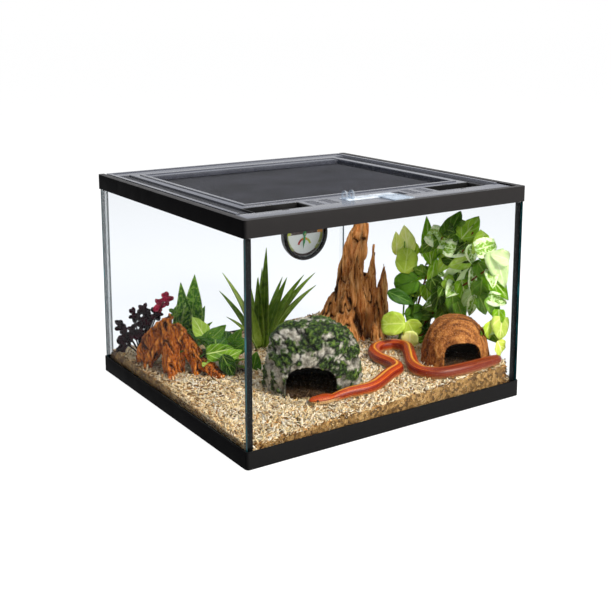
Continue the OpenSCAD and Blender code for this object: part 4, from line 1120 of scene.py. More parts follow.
def leaf_grid(leaf, steps, rails):
    """Points (mm), UVs and faces of one leaf.

    leaf holds: base, turn, length, width, kind, bend (degrees), fold, wave, tone and material number.
    """
    bend = math.radians(leaf["bend"])
    length = leaf["length"]
    turn = leaf["turn"]
    grid = []
    uvs = []
    for i in range(steps + 1):
        u = i / steps
        angle = bend * u
        along = length * (math.sin(angle) / bend if abs(bend) > 0.02 else u)
        drop = -length * ((1 - math.cos(angle)) / bend if abs(bend) > 0.02 else 0)
        half = leaf["width"] / 2 * outline(leaf["kind"], 0.02 + 0.97 * u)
        for j in range(rails + 1):
            v = 2 * j / rails - 1
            phase = u * 15 + leaf["tone"] * 40 + (v > 0) * 2
            ripple = leaf["wave"] * leaf["width"] * math.sin(phase) * v * v
            rise = leaf["fold"] * abs(v) * half + ripple
            grid.append((along - rise * math.sin(-angle) * 0.3, v * half, drop + rise))
            uvs.append((u, v * 0.5 + 0.5))
    points = [Vector(leaf["base"]) + turn @ Vector(p) for p in grid]
    wide = rails + 1
    faces = [(i * wide + j, (i + 1) * wide + j, (i + 1) * wide + j + 1, i * wide + j + 1)
             for i in range(steps) for j in range(rails)]
    return points, uvs, faces


def leaf_piece(name, leaves, materials, steps=8, rails=6, thick=0.45):
    """Many leaves in one piece, each with its own material number and tone, given a real thickness."""
    points = []
    uvs = []
    faces = []
    slots = []
    tones = []
    for leaf in leaves:
        grid, spots, quads = leaf_grid(leaf, steps, rails)
        base = len(points)
        points += grid
        uvs += spots
        faces += [tuple(base + k for k in quad) for quad in quads]
        slots += [leaf["material"]] * len(quads)
        tones += [leaf["tone"]] * len(grid)
    piece = mesh_piece(name, points, faces)
    for material in materials:
        piece.data.materials.append(material)
    piece.data.polygons.foreach_set("material_index", slots)
    add_values(piece, "tone", tones)
    add_uvs(piece, np.array(uvs, np.float32)[corner_points(piece)])
    solid = piece.modifiers.new("thickness", "SOLIDIFY")
    solid.thickness = thick * MM
    solid.offset = 0
    apply_all(piece)
    return piece


def stem_piece(name, routes, material, sides=7):
    """Stems along (x, y, z, radius) routes, joined into one piece."""
    parts = [lofted("%s_%d" % (name, i), smooth_route(r, 5 * len(r)), sides) for i, r in enumerate(routes)]
    for part in parts:
        part.data.materials.append(material)
        add_values(part, "tone", [0.5] * len(part.data.vertices))
        part.data.uv_layers.new(name="UVMap")
    return joined(parts, name)


def leaf_material(name, stops, vein, edge=None, edge_start=0.6, vein_share=0.75, pairs=7, gloss=0.42,
                  mottle=None, shine=0.12, lift=1.35):
    """Moulded or silk leaf: each its own shade, with a midrib, side veins and perhaps a pale margin."""
    material, tree = new_material(name)
    tone = add_node(tree, "Attribute", attribute_name="tone").outputs["Fac"]
    uv = add_node(tree, "SeparateXYZ", {0: add_node(tree, "UVMap").outputs["UV"]})
    place = add_node(tree, "TexCoord").outputs["Object"]
    cloud = add_node(tree, "TexNoise", {"Vector": place, "Scale": 1 / (9 * MM), "Detail": 3.0})
    mix_in = add_node(tree, "Math", {0: cloud, 1: -0.5}, operation="ADD")
    shade = add_node(tree, "Math", {0: mix_in, 1: 0.7, 2: tone}, operation="MULTIPLY_ADD")
    hue = blend_stops(tree, shade, stops)
    side = add_node(tree, "Math", {0: uv.outputs[1], 1: -0.5}, operation="ADD")
    side = add_node(tree, "Math", {0: side}, operation="ABSOLUTE")
    if edge:
        noisy = add_node(tree, "Math", {0: mix_in, 1: 0.5, 2: side}, operation="MULTIPLY_ADD")
        rim = add_node(tree, "MapRange", {
            "Value": noisy, "From Min": edge_start / 2 - 0.03, "From Max": edge_start / 2 + 0.04})
        hue = add_node(tree, "Mix", {0: rim, 6: hue, 7: edge}, data_type="RGBA")
    if mottle:
        spots = add_node(tree, "TexNoise", {"Vector": place, "Scale": 1 / (4 * MM), "Detail": 2.0})
        spots = add_node(tree, "MapRange", {"Value": spots, "From Min": 0.52, "From Max": 0.6})
        hue = add_node(tree, "Mix", {0: spots, 6: hue, 7: mottle}, data_type="RGBA")
    slant = add_node(tree, "Math", {0: side, 1: -0.9, 2: uv.outputs[0]}, operation="MULTIPLY_ADD")
    comb = add_node(tree, "Math", {0: slant, 1: pairs}, operation="MULTIPLY")
    comb = add_node(tree, "Math", {0: comb, 1: 1.0}, operation="PINGPONG")
    ribs = add_node(tree, "MapRange", {
        "Value": comb, "From Min": 0.0, "From Max": 0.2, "To Min": 1.0, "To Max": 0.0})
    middle = add_node(tree, "MapRange", {
        "Value": side, "From Min": 0.015, "From Max": 0.045, "To Min": 1.0, "To Max": 0.0})
    veins = add_node(tree, "Math", {0: ribs, 1: 0.6}, operation="MULTIPLY")
    veins = add_node(tree, "Math", {0: veins, 1: middle}, operation="MAXIMUM")
    share = add_node(tree, "Math", {0: veins, 1: min(1.0, vein_share * 1.25)}, operation="MULTIPLY")
    paint = add_node(tree, "Mix", {0: share, 6: hue, 7: vein}, data_type="RGBA")
    tuned = add_node(tree, "HueSaturation", {
        "Hue": 0.49, "Saturation": 1.06, "Value": lift, "Color": paint})
    bump = add_node(tree, "Bump", {"Height": veins, "Strength": 0.35, "Distance": 0.0005})
    shader = add_node(tree, "BsdfPrincipled", {
        "Base Color": tuned, "Roughness": gloss, "Specular IOR Level": shine, "Normal": bump,
        "Subsurface Weight": 0.12, "Subsurface Radius": (0.001, 0.002, 0.0006), "Subsurface Scale": 1.0})
    glow = add_node(tree, "BsdfTranslucent", {"Color": tuned})
    mixed = add_node(tree, "MixShader", {0: 0.18, 1: shader, 2: glow})
    add_node(tree, "OutputMaterial", {"Surface": mixed})
    return material


def finish_plant(name, leaves, stems, replaced):
    """Joins leaves and stems into one plant."""
    plant = joined([leaves, stems], name)
    return settle(plant, "tank", None, (replaced,), smooth=180)


# the way that shown leaves face, through the near corner, and the way across it
FRONT = Vector((-0.5550, -0.8320, 0.15))
ACROSS = Vector((0.8320, -0.5550, 0.0))


def leaf_turn(ahead, face):
    """How a leaf is turned: its length along ahead and its upper side towards face."""
    ahead = Vector(ahead).normalized()
    up = (Vector(face) - ahead * ahead.dot(Vector(face))).normalized()
    return Matrix((ahead, up.cross(ahead), up)).transposed()


def shown_leaves(rows, dice):
    """Leaves that face the front glass, from rows of place, length, width, tip angle, kind and material."""
    leaves = []
    for x, y, z, length, width, angle, kind, material in rows:
        turn = math.radians(angle)
        lean = FRONT * dice.uniform(-0.3, 0.3)
        ahead = ACROSS * math.cos(turn) + Vector((0, 0, 1)) * math.sin(turn) + lean
        face = FRONT + ACROSS * dice.uniform(-0.45, 0.45) + Vector((0, 0, dice.uniform(-0.1, 0.6)))
        ahead = ahead.normalized()
        bend = dice.uniform(12, 40)
        leaves.append({
            "base": Vector((x, y, z)) - ahead * length * 0.5, "turn": leaf_turn(ahead, face),
            "length": length * 1.03, "width": width, "kind": kind, "bend": bend,
            "tone": dice.uniform(0.2, 0.85), "material": material, "fold": dice.uniform(0.1, 0.3),
            "wave": 0.05})
    return leaves


def tip_leaf(base, tip, width, kind, tone, bend, face, fold, wave):
    """A leaf from its base to a tip in millimetres, its upper side towards face."""
    way = Vector(tip) - Vector(base)
    chord = way.normalized()
    lift = (face - chord * chord.dot(face)).normalized()
    half = math.radians(bend) / 2
    ahead = chord * math.cos(half) + lift * math.sin(half)
    return {"base": base, "turn": leaf_turn(ahead, face), "length": way.length * 1.02, "width": width,
            "kind": kind, "bend": bend, "tone": tone, "material": 0, "fold": fold, "wave": wave}


def make_spiky_plant():
    """Agave-like rosette of long stiff blades, olive green, curving outwards."""
    # the tip, width and bend of each blade
    tips = [
        (-7, 96, 188, 28, 6), (28, 92, 138, 29, 20), (58, 88, 140, 25, 38), (80, 88, 141, 22, 44),
        (84, 90, 120, 22, 50), (-73, 118, 155, 22, 36), (-27, 90, 144, 28, 8), (-56, 112, 128, 20, 30),
        (24, 84, 82, 17, 40), (-40, 92, 110, 24, 22), (-26, 126, 150, 22, 10), (42, 86, 100, 19, 46),
        (2, 124, 150, 22, 16), (48, 136, 128, 20, 40), (-66, 142, 120, 20, 40), (10, 150, 130, 20, 34),
        (-80, 96, 92, 17, 48)]
    foot_x, foot_y, foot_radius = -15, 104, 5
    floor = bed_height(foot_x, foot_y)
    leaves = []
    for i, (x, y, z, width, bend) in enumerate(tips):
        angle = math.atan2(y - foot_y, x - foot_x)
        out_x, out_y = foot_radius * math.cos(angle), foot_radius * math.sin(angle)
        base = (foot_x + out_x, foot_y + out_y, floor + 2 * (i % 4))
        upwards = Vector((0, 0, 0.3 if bend > 15 else 0.0))
        inwards = Vector((foot_x - x, foot_y - y, 0)) * 0.01 + upwards + FRONT * 0.9
        tone = 0.25 + 0.13 * (i % 6)
        leaves.append(tip_leaf(base, (x, y, z), width * 0.66, "blade", tone, bend, inwards, 0.4, 0))
    stops = ((0.1, "#2f4818"), (0.4, "#4f7228"), (0.65, "#7a9a42"), (0.95, "#a8c06e"))
    green = leaf_material(
        "silk blade, olive green", stops, "#93aa58", edge="#5f7c30", edge_start=0.78, vein_share=0.3,
        pairs=1, gloss=0.34)
    blades = leaf_piece("blades", leaves, [green], 16, 6, 0.9)
    crown = [(foot_x, foot_y, z, radius) for z, radius in ((20, 8), (40, 9), (52, 4))]
    foot = stem_piece("foot", [crown], green)
    finish_plant("spiky_rosette", blades, foot, "spiky_plant")


def kept_below(values, limit):
    """Values pressed together smoothly as they near a limit, as leaves lie against glass."""
    soft = 9.0
    near = limit - soft
    over = np.maximum(values - near, 0)
    return np.where(values > near, near + soft * (1 - np.exp(-over / soft)) * 0.98, values)


def make_vine():
    """Climbing plant along the right-hand glass: dense hanging leaves, dark, fresh, pale or pale-edged."""
    dice = random.Random(4)
    lime = leaf_material(
        "silk leaf, lime green", ((0.1, "#7c9c30"), (0.5, "#a3c24a"), (1.0, "#c8dc7c")), "#e0eaa8", pairs=4)
    yellow = leaf_material(
        "silk leaf, yellow green", ((0.1, "#9fb53c"), (0.5, "#bccf5c"), (1.0, "#dde59c")), "#ecf0c0",
        pairs=5)
    fresh = leaf_material(
        "silk leaf, fresh green", ((0.1, "#4f801c"), (0.45, "#76a832"), (0.8, "#a2c656"), (1.0, "#c8de8e")),
        "#bcd08a", pairs=6)
    dark = leaf_material(
        "silk leaf, deep green", ((0.1, "#20360e"), (0.5, "#41651d"), (0.9, "#67923a")), "#93b058", pairs=6)
    margin = leaf_material(
        "silk leaf, pale margin", ((0.1, "#4f7d26"), (0.6, "#7ba444"), (1.0, "#a4c26c")), "#cfe3b4",
        edge="#dcebc4", edge_start=0.55, vein_share=0.5, pairs=6, mottle="#bcd8a0")
    pale = leaf_material(
        "silk leaf, pale underside", ((0.1, "#94b86c"), (0.5, "#b4d090"), (1.0, "#d4e6ba")), "#e4f0d0",
        pairs=6, vein_share=0.5)
    stem = leaf_material("brown stem", ((0.2, "#4a2c16"), (0.8, "#7a4c28")), "#7a4c28")
    foot = (174, -34, bed_height(174, -34))
    rows = [
        (182, -68, 208, 73, 24, 97, "lance", 2), (186, -75, 156, 58, 18, -98, "lance", 2),
        (180, -59, 157, 30, 16, -80, "lance", 3), (192, -86, 212, 46, 34, -35, "heart", 4),
        (196, -119, 203, 42, 28, -10, "heart", 4), (196, -107, 239, 46, 34, 72, "heart", 3),
        (204, -136, 238, 44, 32, 55, "heart", 2), (200, -128, 230, 34, 26, -110, "heart", 3),
        (205, -176, 218, 46, 30, 15, "heart", 4), (207, -196, 188, 54, 34, -75, "heart", 5),
        (207, -196, 206, 30, 24, 160, "heart", 5), (202, -142, 197, 40, 18, -80, "lance", 4),
        (198, -103, 158, 44, 22, -122, "lance", 5), (201, -126, 156, 40, 22, -118, "lance", 5),
        (203, -147, 160, 44, 17, -82, "lance", 4), (202, -136, 131, 38, 20, -125, "lance", 5),
        (201, -146, 121, 40, 17, -105, "lance", 4), (207, -194, 162, 50, 30, -50, "heart", 2),
        (208, -196, 141, 34, 22, -20, "heart", 4), (208, -188, 127, 46, 26, -62, "heart", 3),
        (192, -100, 131, 44, 32, -100, "heart", 3), (188, -85, 136, 38, 28, -60, "heart", 3),
        (195, -114, 115, 42, 28, -80, "heart", 3), (188, -94, 100, 36, 26, -120, "heart", 3),
        (206, -159, 141, 42, 30, -95, "heart", 3), (207, -167, 126, 36, 26, -60, "heart", 3),
        (184, -79, 109, 36, 26, -160, "heart", 3), (198, -128, 108, 34, 24, -70, "heart", 3),
        (206, -145, 174, 34, 24, -140, "heart", 3), (200, -119, 182, 34, 26, 200, "heart", 2),
        (194, -92, 178, 34, 26, -130, "heart", 2), (208, -164, 175, 36, 26, -60, "heart", 3),
        (190, -77, 191, 32, 24, -120, "heart", 2), (206, -154, 218, 36, 24, -120, "heart", 2),
        (209, -184, 92, 38, 35, -80, "heart", 0), (210, -200, 99, 36, 30, -95, "heart", 0),
        (211, -200, 70, 26, 24, -60, "round", 1), (209, -196, 114, 26, 20, -90, "heart", 2),
        (207, -174, 197, 34, 22, 160, "heart", 2), (197, -109, 145, 34, 24, -40, "heart", 2),
        (184, -67, 124, 34, 24, -80, "heart", 2)]
    leaves = shown_leaves(rows, dice)
    routes = [[foot, (182, -42, 90), (188, -58, 150), (192, -76, 200), (198, -100, 236)],
              [foot, (190, -60, 80), (196, -96, 125), (203, -150, 165), (208, -186, 195)],
              [foot, (194, -74, 110), (202, -110, 180), (206, -140, 232)],
              [foot, (200, -80, 74), (206, -130, 84), (209, -186, 96)]]
    # more leaves along the stems fill the plant out behind and at its sides
    for route in routes:
        line = smooth_route(route, 15)
        for k in range(2, 15):
            spot = line[k] + np.array([dice.uniform(-8, 8), dice.uniform(-8, 12), dice.uniform(-10, 10)])
            aim = Vector((dice.uniform(-1, 0.6), dice.uniform(-1, 1), dice.uniform(-0.9, 0.3)))
            aim = aim.normalized()
            leaves.append({
                "base": spot, "turn": leaf_turn(aim, (-0.8, dice.uniform(-1, 0.6), 0.5)),
                "length": dice.uniform(28, 42), "width": dice.uniform(18, 28), "kind": "heart", "bend": 30,
                "tone": dice.uniform(0.05, 0.8), "material": dice.choice([3, 3, 3, 2, 4]), "fold": 0.18,
                "wave": 0.05})
    piece = leaf_piece("vine_leaves", leaves, [lime, yellow, fresh, dark, margin, pale, stem])
    points, _ = read_points(piece)
    highest = 290
    points[:, 0] = kept_below(points[:, 0], GLASS_X - 1.4)
    points[:, 1] = -kept_below(-points[:, 1], GLASS_Y - 1.6)
    points[:, 2] = np.minimum(points[:, 2], highest)
    write_points(piece, points)
    tapered = [[(*place, 2.0 - 0.25 * i) for i, place in enumerate(route)] for route in routes]
    stems = stem_piece("vine_stems", tapered, stem)
    finish_plant("climbing_vine", piece, stems, "leafy_vine")


def make_round_leaves():
    """Sprigs of round pale leaves with radial veins, left of the climbing plant."""
    dice = random.Random(5)
    lime = leaf_material(
        "silk leaf, lime green, round", ((0.1, "#74942c"), (0.5, "#93b240"), (0.95, "#b2cb60")), "#c4d880",
        pairs=3, vein_share=0.6)
    yellow = leaf_material(
        "silk leaf, yellow green, pointed", ((0.1, "#9db53a"), (0.5, "#bccd58"), (1.0, "#dfe7a0")),
        "#e6ecb4", pairs=5)
    green = leaf_material(
        "silk leaf, mid green, round", ((0.1, "#3c6a20"), (0.5, "#5f8f34"), (0.95, "#86ad4c")), "#35571e",
        pairs=3, vein_share=0.8)
    dark = leaf_material(
        "silk leaf, dark oval", ((0.1, "#1c3c14"), (0.6, "#356024"), (1, "#4c7a34")), "#6c9448", pairs=6)
    foot = (157, -26, bed_height(157, -26))
    rows = [
        (149, -34, 202, 36, 18, 87, "lance", 1), (169, -32, 206, 48, 28, 96, "lance", 1),
        (180, -32, 192, 30, 22, 110, "lance", 1), (158, -46, 176, 38, 37, 80, "round", 0),
        (157, -48, 141, 38, 37, 200, "round", 2), (146, -50, 121, 46, 22, -22, "lance", 3),
        (126, -53, 84, 40, 38, 180, "round", 0), (172, -52, 92, 32, 28, 20, "round", 2),
        (160, -60, 70, 36, 34, -60, "round", 0), (154, -62, 56, 28, 27, -90, "round", 1),
        (186, -50, 70, 26, 24, -40, "round", 3), (180, -46, 126, 26, 20, 20, "lance", 0),
        (170, -44, 158, 30, 20, -30, "lance", 3), (172, -46, 112, 32, 22, -60, "lance", 3),
        (166, -40, 186, 32, 20, 30, "lance", 0)]
    leaves = shown_leaves(rows, dice)
    piece = leaf_piece("round_leaves", leaves, [lime, yellow, green, dark])
    routes = [[(*foot, 1.6), (158, -38, 70, 1.5), (158, -42, 130, 1.3), (160, -38, 205, 1.0)],
              [(*foot, 1.5), (150, -42, 60, 1.3), (128, -50, 84, 0.9)],
              [(*foot, 1.5), (162, -46, 60, 1.3), (162, -58, 72, 0.9)],
              [(159, -44, 150, 1.0), (164, -40, 170, 0.9), (180, -34, 190, 0.7)],
              [(160, -40, 90, 1.1), (172, -50, 100, 0.9), (180, -50, 124, 0.7)]]
    stems = stem_piece("round_stems", routes, green)
    finish_plant("round_leaf_sprigs", piece, stems, "round_leaf_plant")


def make_broad_plant():
    """Tuft of broad moulded leaves in two greens, behind the near corner."""
    dark = leaf_material(
        "moulded leaf, deep green", ((0.1, "#16300c"), (0.5, "#2f5a18"), (0.9, "#55842e")), "#7ea048",
        pairs=6)
    pale = leaf_material(
        "moulded leaf, fresh green", ((0.1, "#4c7c20"), (0.5, "#7aa838"), (0.95, "#aed060")), "#d8e8a0",
        pairs=7)
    floor = bed_height(-99, 34)
    # place, length, width, material number, yaw and pitch of each leaf
    broad = [
        ((-142, 51, 80), 40, 26, 0, 150, 20), ((-126, 46, 76), 42, 28, 0, 60, 25),
        ((-113, 43, 54), 42, 26, 1, 20, 10), ((-107, 30, 36), 36, 24, 1, -30, -8),
        ((-129, 52, 58), 40, 26, 0, 200, 5), ((-88, 46, 58), 38, 24, 0, 30, 20),
        ((-118, 26, 46), 36, 24, 0, -110, 10), ((-98, 22, 44), 34, 22, 1, -70, 20),
        ((-150, 62, 66), 38, 24, 0, 180, 0), ((-136, 40, 52), 36, 24, 1, -150, -5),
        ((-108, 56, 70), 38, 26, 0, 90, 30)]
    shown = [
        (-126, 8, 46, 40, 24, -62, "lance", 0), (-80, 12, 42, 32, 24, 75, "heart", 0),
        (-130, 22, 66, 44, 26, 8, "heart", 1), (-128, 44, 84, 44, 26, 42, "heart", 0),
        (-146, 60, 96, 34, 26, 120, "heart", 1), (-104, 24, 66, 38, 24, -150, "lance", 0),
        (-118, 14, 60, 32, 20, 30, "heart", 1), (-96, 40, 74, 34, 22, 60, "heart", 0)]
    leaves = []
    for i, (spot, length, width, material, yaw, pitch) in enumerate(broad):
        turn = math.radians(yaw)
        way = Vector((math.cos(turn), math.sin(turn), math.sin(math.radians(pitch))))
        base = Vector(spot) - way * length * 0.45
        roll = math.radians((i * 29) % 40 - 20)
        turned = (Matrix.Rotation(turn, 3, "Z") @ Matrix.Rotation(-math.radians(pitch + 12), 3, "Y")
                  @ Matrix.Rotation(roll, 3, "X"))
        leaves.append({
            "base": base, "turn": turned, "length": length * 1.2, "width": width * 1.25, "kind": "heart",
            "bend": 32, "tone": 0.3 + 0.12 * (i % 5), "material": material, "fold": 0.2, "wave": 0.05})
    leaves += shown_leaves(shown, random.Random(12))
    piece = leaf_piece("broad_leaves", leaves, [dark, pale])
    routes = [[(-99, 34, floor - 4, 2.0), (-112, 42, 40, 1.7), (-128, 52, 62, 1.4), (-144, 62, 72, 1.0)],
              [(-99, 34, floor - 4, 1.9), (-104, 38, 48, 1.5), (-112, 46, 70, 1.0)],
              [(-99, 34, floor - 4, 1.9), (-100, 30, 36, 1.4), (-110, 26, 44, 1.0)],
              [(-99, 34, floor - 4, 1.9), (-92, 40, 46, 1.4), (-86, 46, 56, 1.0)]]
    stems = stem_piece("broad_stems", routes, pale)
    finish_plant("broad_leaf_tuft", piece, stems, "broad_leaf_plant")


def make_mottled_plant():
    """Tall pointed leaves with pale mottling and margins, beside the root."""
    mottled = leaf_material(
        "moulded leaf, mottled", ((0.1, "#1c4412"), (0.5, "#32641e"), (0.95, "#568a34")), "#8fb060",
        edge="#9cb870", edge_start=0.88, vein_share=0.4, pairs=8, gloss=0.4, mottle="#74a044")
    base = (-137, 113, bed_height(-137, 113) + 4)
    # tip, width, bend and tone of each leaf
    tall = [
        ((-127, 108, 160), 36, 12, 0.55), ((-148, 112, 150), 30, 16, 0.35), ((-112, 104, 112), 26, 40, 0.6),
        ((-128, 98, 96), 26, 40, 0.7), ((-160, 108, 112), 26, 40, 0.4), ((-104, 96, 88), 24, 48, 0.5),
        ((-166, 122, 92), 22, 50, 0.6), ((-140, 138, 116), 26, 30, 0.3)]
    leaves = []
    for i, (tip, width, bend, tone) in enumerate(tall):
        face = FRONT + ACROSS * (0.3 - 0.2 * i) + Vector((0, 0, 0.08 * i))
        leaves.append(tip_leaf(base, tip, width, "lance", tone, bend, face, 0.3, 0.05))
    piece = leaf_piece("mottled_leaves", leaves, [mottled], 12, 6)
    crown = [(-137, 113, z, radius) for z, radius in ((26, 4), (44, 4), (50, 2))]
    foot = stem_piece("mottled_foot", [crown], mottled)
    finish_plant("mottled_leaf_plant", piece, foot, "variegated_plant")


def make_burgundy_plant():
    """Sprigs with heads of small round leaves, dark red with a few red and green ones."""
    wine = leaf_material(
        "moulded leaf, burgundy", ((0.1, "#0a0406"), (0.5, "#1e0a12"), (0.9, "#43121f")), "#5a2230",
        pairs=4, vein_share=0.4, gloss=0.5, shine=0.03, lift=0.5)
    red = leaf_material(
        "moulded leaf, red", ((0.1, "#6a1220"), (0.6, "#9a2030"), (1.0, "#b83a44")), "#c85a60", pairs=3)
    fresh = leaf_material(
        "moulded leaf, small green", ((0.1, "#2c5a1e"), (0.9, "#5c9038")), "#8ab060", pairs=4)
    foot_x, foot_y = -191, 168
    floor = bed_height(-191, 172)
    # place of each sprig's head, and the number of its material
    heads = [
        ((-215, 186, 78), 0), ((-196, 178, 96), 0), ((-184, 168, 104), 0), ((-160, 138, 126), 1),
        ((-181, 160, 93), 0), ((-189, 165, 86), 0), ((-216, 184, 48), 0), ((-208, 178, 58), 0),
        ((-193, 166, 66), 0), ((-203, 172, 72), 0), ((-183, 158, 74), 0), ((-168, 148, 113), 1),
        ((-213, 178, 66), 0), ((-152, 126, 102), 2), ((-171, 150, 100), 0)]
    dice = random.Random(8)
    leaves = []
    routes = []
    for spot, material in heads:
        x, y, z = spot
        middle = ((x + foot_x) / 2, (y + foot_y) / 2, (z + floor) / 2 + 4)
        routes.append([(foot_x, foot_y, floor - 3, 1.3), (*middle, 1.1), (*spot, 0.8)])
        for k in range(7):
            spin = math.radians(51 * k + dice.uniform(-20, 20))
            aim = Matrix.Rotation(spin, 3, -FRONT) @ Vector((0.1, -0.1, 1))
            face = FRONT + Vector((0, 0, dice.uniform(-0.5, 1.2)))
            leaves.append({
                "base": Vector(spot) - Vector((0, 0, 5 * (k % 2))), "turn": leaf_turn(aim, face),
                "length": dice.uniform(8, 12), "width": dice.uniform(6, 9), "kind": "round", "bend": 30,
                "tone": dice.uniform(0.1, 0.9), "material": material, "fold": 0.2, "wave": 0.1})
    piece = leaf_piece("burgundy_leaves", leaves, [wine, red, fresh], 4, 4)
    points, _ = read_points(piece)
    limit = np.array([GLASS_X, GLASS_Y]) - 0.6
    points[:, :2] = np.clip(points[:, :2], -limit, limit)
    write_points(piece, points)
    stems = stem_piece("burgundy_stems", routes, wine, 5)
    finish_plant("burgundy_sprigs", piece, stems, "burgundy_plant")


make_spiky_plant()
make_vine()
make_round_leaves()
make_broad_plant()
make_mottled_plant()
make_burgundy_plant()


# ---------------------------------------------------------------- snake

# the body from snout to tail: place in millimetres and thickness as a share of the thickest
SNAKE = [
    (-95, -155, 0.35), (-87, -157, 0.72), (-75, -160, 0.78), (-63, -162, 0.66), (-39, -165, 0.86),
    (-1, -169, 0.95), (44, -148, 1), (68, -138, 1), (78, -114, 1), (80, -84, 1), (90, -56, 1),
    (112, -39, 1), (136, -46, 1), (140, -72, 1), (120, -104, 1), (96, -140, 1), (88, -170, 1),
    (102, -192, 1), (138, -202, 1), (172, -202, 0.96), (198, -201, 0.85), (212, -193, 0.55),
    (217, -181, 0.3), (218, -170, 0.12)]


def snake_material():
    """Smooth snake scales: red-orange back with a thin yellow stripe, darker sides, pale belly and jaw."""
    material, tree = new_material("snake skin, smooth scales")
    uv = add_node(tree, "UVMap").outputs["UV"]
    split = add_node(tree, "SeparateXYZ", {0: uv})
    along = split.outputs[0]
    around = add_node(tree, "Math", {0: split.outputs[1], 1: -0.5}, operation="ADD")
    around = add_node(tree, "Math", {0: around}, operation="ABSOLUTE")
    # u is metres along the body and v is 0.5 along the back, so 0.5 away is the belly
    front = blend_stops(tree, around, (
        (0.0, "#f4a83a"), (0.02, "#f09c30"), (0.034, "#a83210"), (0.07, "#b43a12"), (0.115, "#cc531a"),
        (0.132, "#dc6c24"), (0.148, "#a02c0e"), (0.2, "#7c1c0a"), (0.26, "#b04416"), (0.31, "#d08a4c"),
        (0.37, "#ecd09c")))
    rear = blend_stops(tree, around, (
        (0.0, "#b4561f"), (0.022, "#a2481a"), (0.036, "#823011"), (0.12, "#74260e"), (0.14, "#9c4a1e"),
        (0.16, "#6c210c"), (0.26, "#84381a"), (0.36, "#b98a58")))
    late = add_node(tree, "MapRange", {"Value": along, "From Min": 0.455, "From Max": 0.475})
    body = add_node(tree, "Mix", {0: late, 6: front, 7: rear}, data_type="RGBA")
    head = add_node(tree, "MapRange", {
        "Value": along, "From Min": 0.03, "From Max": 0.045, "To Min": 1.0, "To Max": 0.0})
    face = blend_stops(tree, around, (
        (0.0, "#cc5a20"), (0.09, "#b43c12"), (0.17, "#dc6c24"), (0.2, "#7a1c0a"), (0.212, "#8c2a10"),
        (0.226, "#e0b478"), (0.4, "#f0dcb2")))
    body = add_node(tree, "Mix", {0: head, 6: body, 7: face}, data_type="RGBA")
    # scales are about 2.6 mm long, with 22 round the body, larger than the real ones, so that they show
    rows = add_node(tree, "Mapping", {"Vector": uv, "Scale": (1 / (2.6 * MM), 22, 1)})
    scale = add_node(tree, "TexVoronoi", {"Vector": rows, "Scale": 1.0, "Randomness": 0.22})
    gap = add_node(tree, "MapRange", {
        "Value": scale.outputs["Distance"], "From Min": 0.36, "From Max": 0.6, "To Min": 0.0,
        "To Max": 0.75})
    paint = add_node(tree, "Mix", {0: gap, 6: body, 7: "#5a170b"}, data_type="RGBA")
    dome = add_node(tree, "Math", {0: 1.0, 1: scale.outputs["Distance"]}, operation="SUBTRACT")
    bump = add_node(tree, "Bump", {"Height": dome, "Strength": 0.4, "Distance": 0.0006})
    shader = add_node(tree, "BsdfPrincipled", {
        "Base Color": paint, "Roughness": 0.4, "Specular IOR Level": 0.28, "Normal": bump,
        "Subsurface Weight": 0.04, "Subsurface Radius": (0.002, 0.0008, 0.0004), "Subsurface Scale": 1.0})
    add_node(tree, "OutputMaterial", {"Surface": shader})
    return material


def eye_part(name, colour, rough):
    """Wet part of an eye: one plain colour with a sharp highlight."""
    material, tree = new_material(name)
    shader = add_node(tree, "BsdfPrincipled", {"Base Color": colour, "Roughness": rough})
    add_node(tree, "OutputMaterial", {"Surface": shader})
    return material


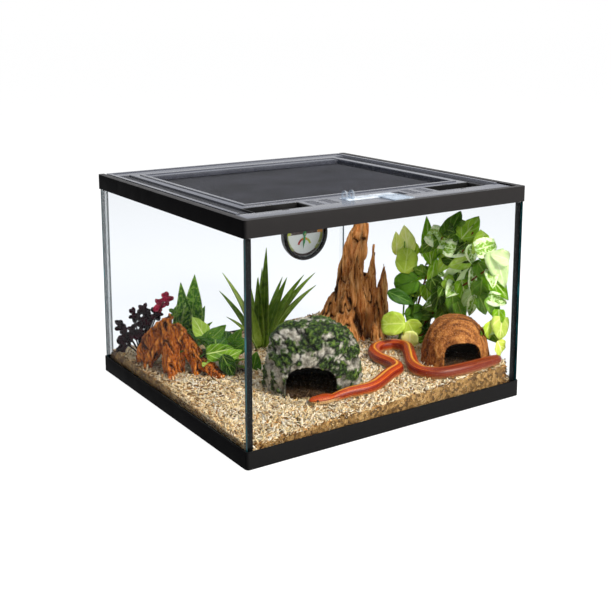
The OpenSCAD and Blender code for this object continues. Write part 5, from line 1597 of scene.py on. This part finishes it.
def make_snake():
    """Young corn snake: head with jaws and eyes, and a long smooth body that lies on the bedding."""
    radius = 9.6
    steps = 420
    route = smooth_route(
        [(x, y, bed_height(x, y) + radius * s * 0.95, radius * s) for x, y, s in SNAKE], steps)
    lengths = np.concatenate([[0], np.cumsum(np.linalg.norm(np.diff(route[:, :3], axis=0), axis=1))])
    sides = 28
    # the head's length in millimetres, and where along it the jaw is widest, as a share
    head = 36.0
    jaw = 0.62
    points = []
    uvs = []
    for i, (x, y, z, r) in enumerate(route):
        ahead = Vector(route[min(i + 1, steps), :3] - route[max(i - 1, 0), :3]).normalized()
        side = ahead.cross(Vector((0, 0, 1))).normalized()
        up = side.cross(ahead)
        s = lengths[i]
        wide, tall = r, r * 0.92
        if s < head:
            t = s / head
            snout = (max(0.0, 1 - (1 - min(1, t / jaw)) ** 2.2)) ** 0.5
            neck = 1 - 0.34 * max(0, (t - jaw) / (1 - jaw)) ** 1.5
            wide = radius * snout * neck
            tall = wide * (0.62 + 0.18 * t)
            wide = max(wide, 0.05)
            tall = max(tall, 0.04)
            z = bed_height(x, y) + 8.0 - 1.9 * t
        ring = []
        for k in range(sides):
            a = TAU * k / sides
            c, d = math.cos(a), math.sin(a)
            square = 0.86 if s < head else 0.96
            px = math.copysign(abs(c) ** square, c) * wide
            pz = math.copysign(abs(d) ** square, d) * tall
            if s < head and pz < 0:
                pz *= 0.8
            ring.append(Vector((x, y, z)) + side * px + up * pz)
        points += ring
        uvs += [(s * MM, (k / sides + 0.25) % 1.0) for k in range(sides)]
    snake = mesh_piece("corn_snake_body", points, tube_faces(steps + 1, sides))
    layer = snake.data.uv_layers.new(name="UVMap")
    for polygon in snake.data.polygons:
        values = [uvs[snake.data.loops[k].vertex_index] for k in polygon.loop_indices]
        top = max(v for _, v in values)
        for k, (u, v) in zip(polygon.loop_indices, values):
            layer.data[k].uv = (u, v + 1 if top - v > 0.5 else v)
    recalculated(snake)
    pupil = eye_part("glossy eye", "#0a0605", 0.06)
    iris = eye_part("iris, orange", "#c8501c", 0.2)
    snake.data.materials.append(snake_material())
    parts = [snake]
    # how far the eyes are behind the snout and above the bedding, in millimetres
    eyes_at = 9.5
    eye_level = 9.5
    i = int(np.searchsorted(lengths, eyes_at))
    x, y = route[i, :2]
    ahead = Vector(route[i + 1, :3] - route[i - 1, :3]).normalized()
    side = ahead.cross(Vector((0, 0, 1))).normalized()
    level = bed_height(x, y) + eye_level
    for sign in (-1, 1):
        for size, reach, material in ((2.0, 6.7, iris), (1.75, 7.3, pupil)):
            spot = (Vector((x, y, level)) + side * sign * reach) * MM
            bpy.ops.mesh.primitive_uv_sphere_add(
                segments=20, ring_count=12, radius=size * MM, location=spot)
            ball = bpy.context.object
            ball.data.materials.append(material)
            parts.append(ball)
    settle(joined(parts, "corn_snake_body"), "tank", None, ("corn_snake",), smooth=180)


make_snake()
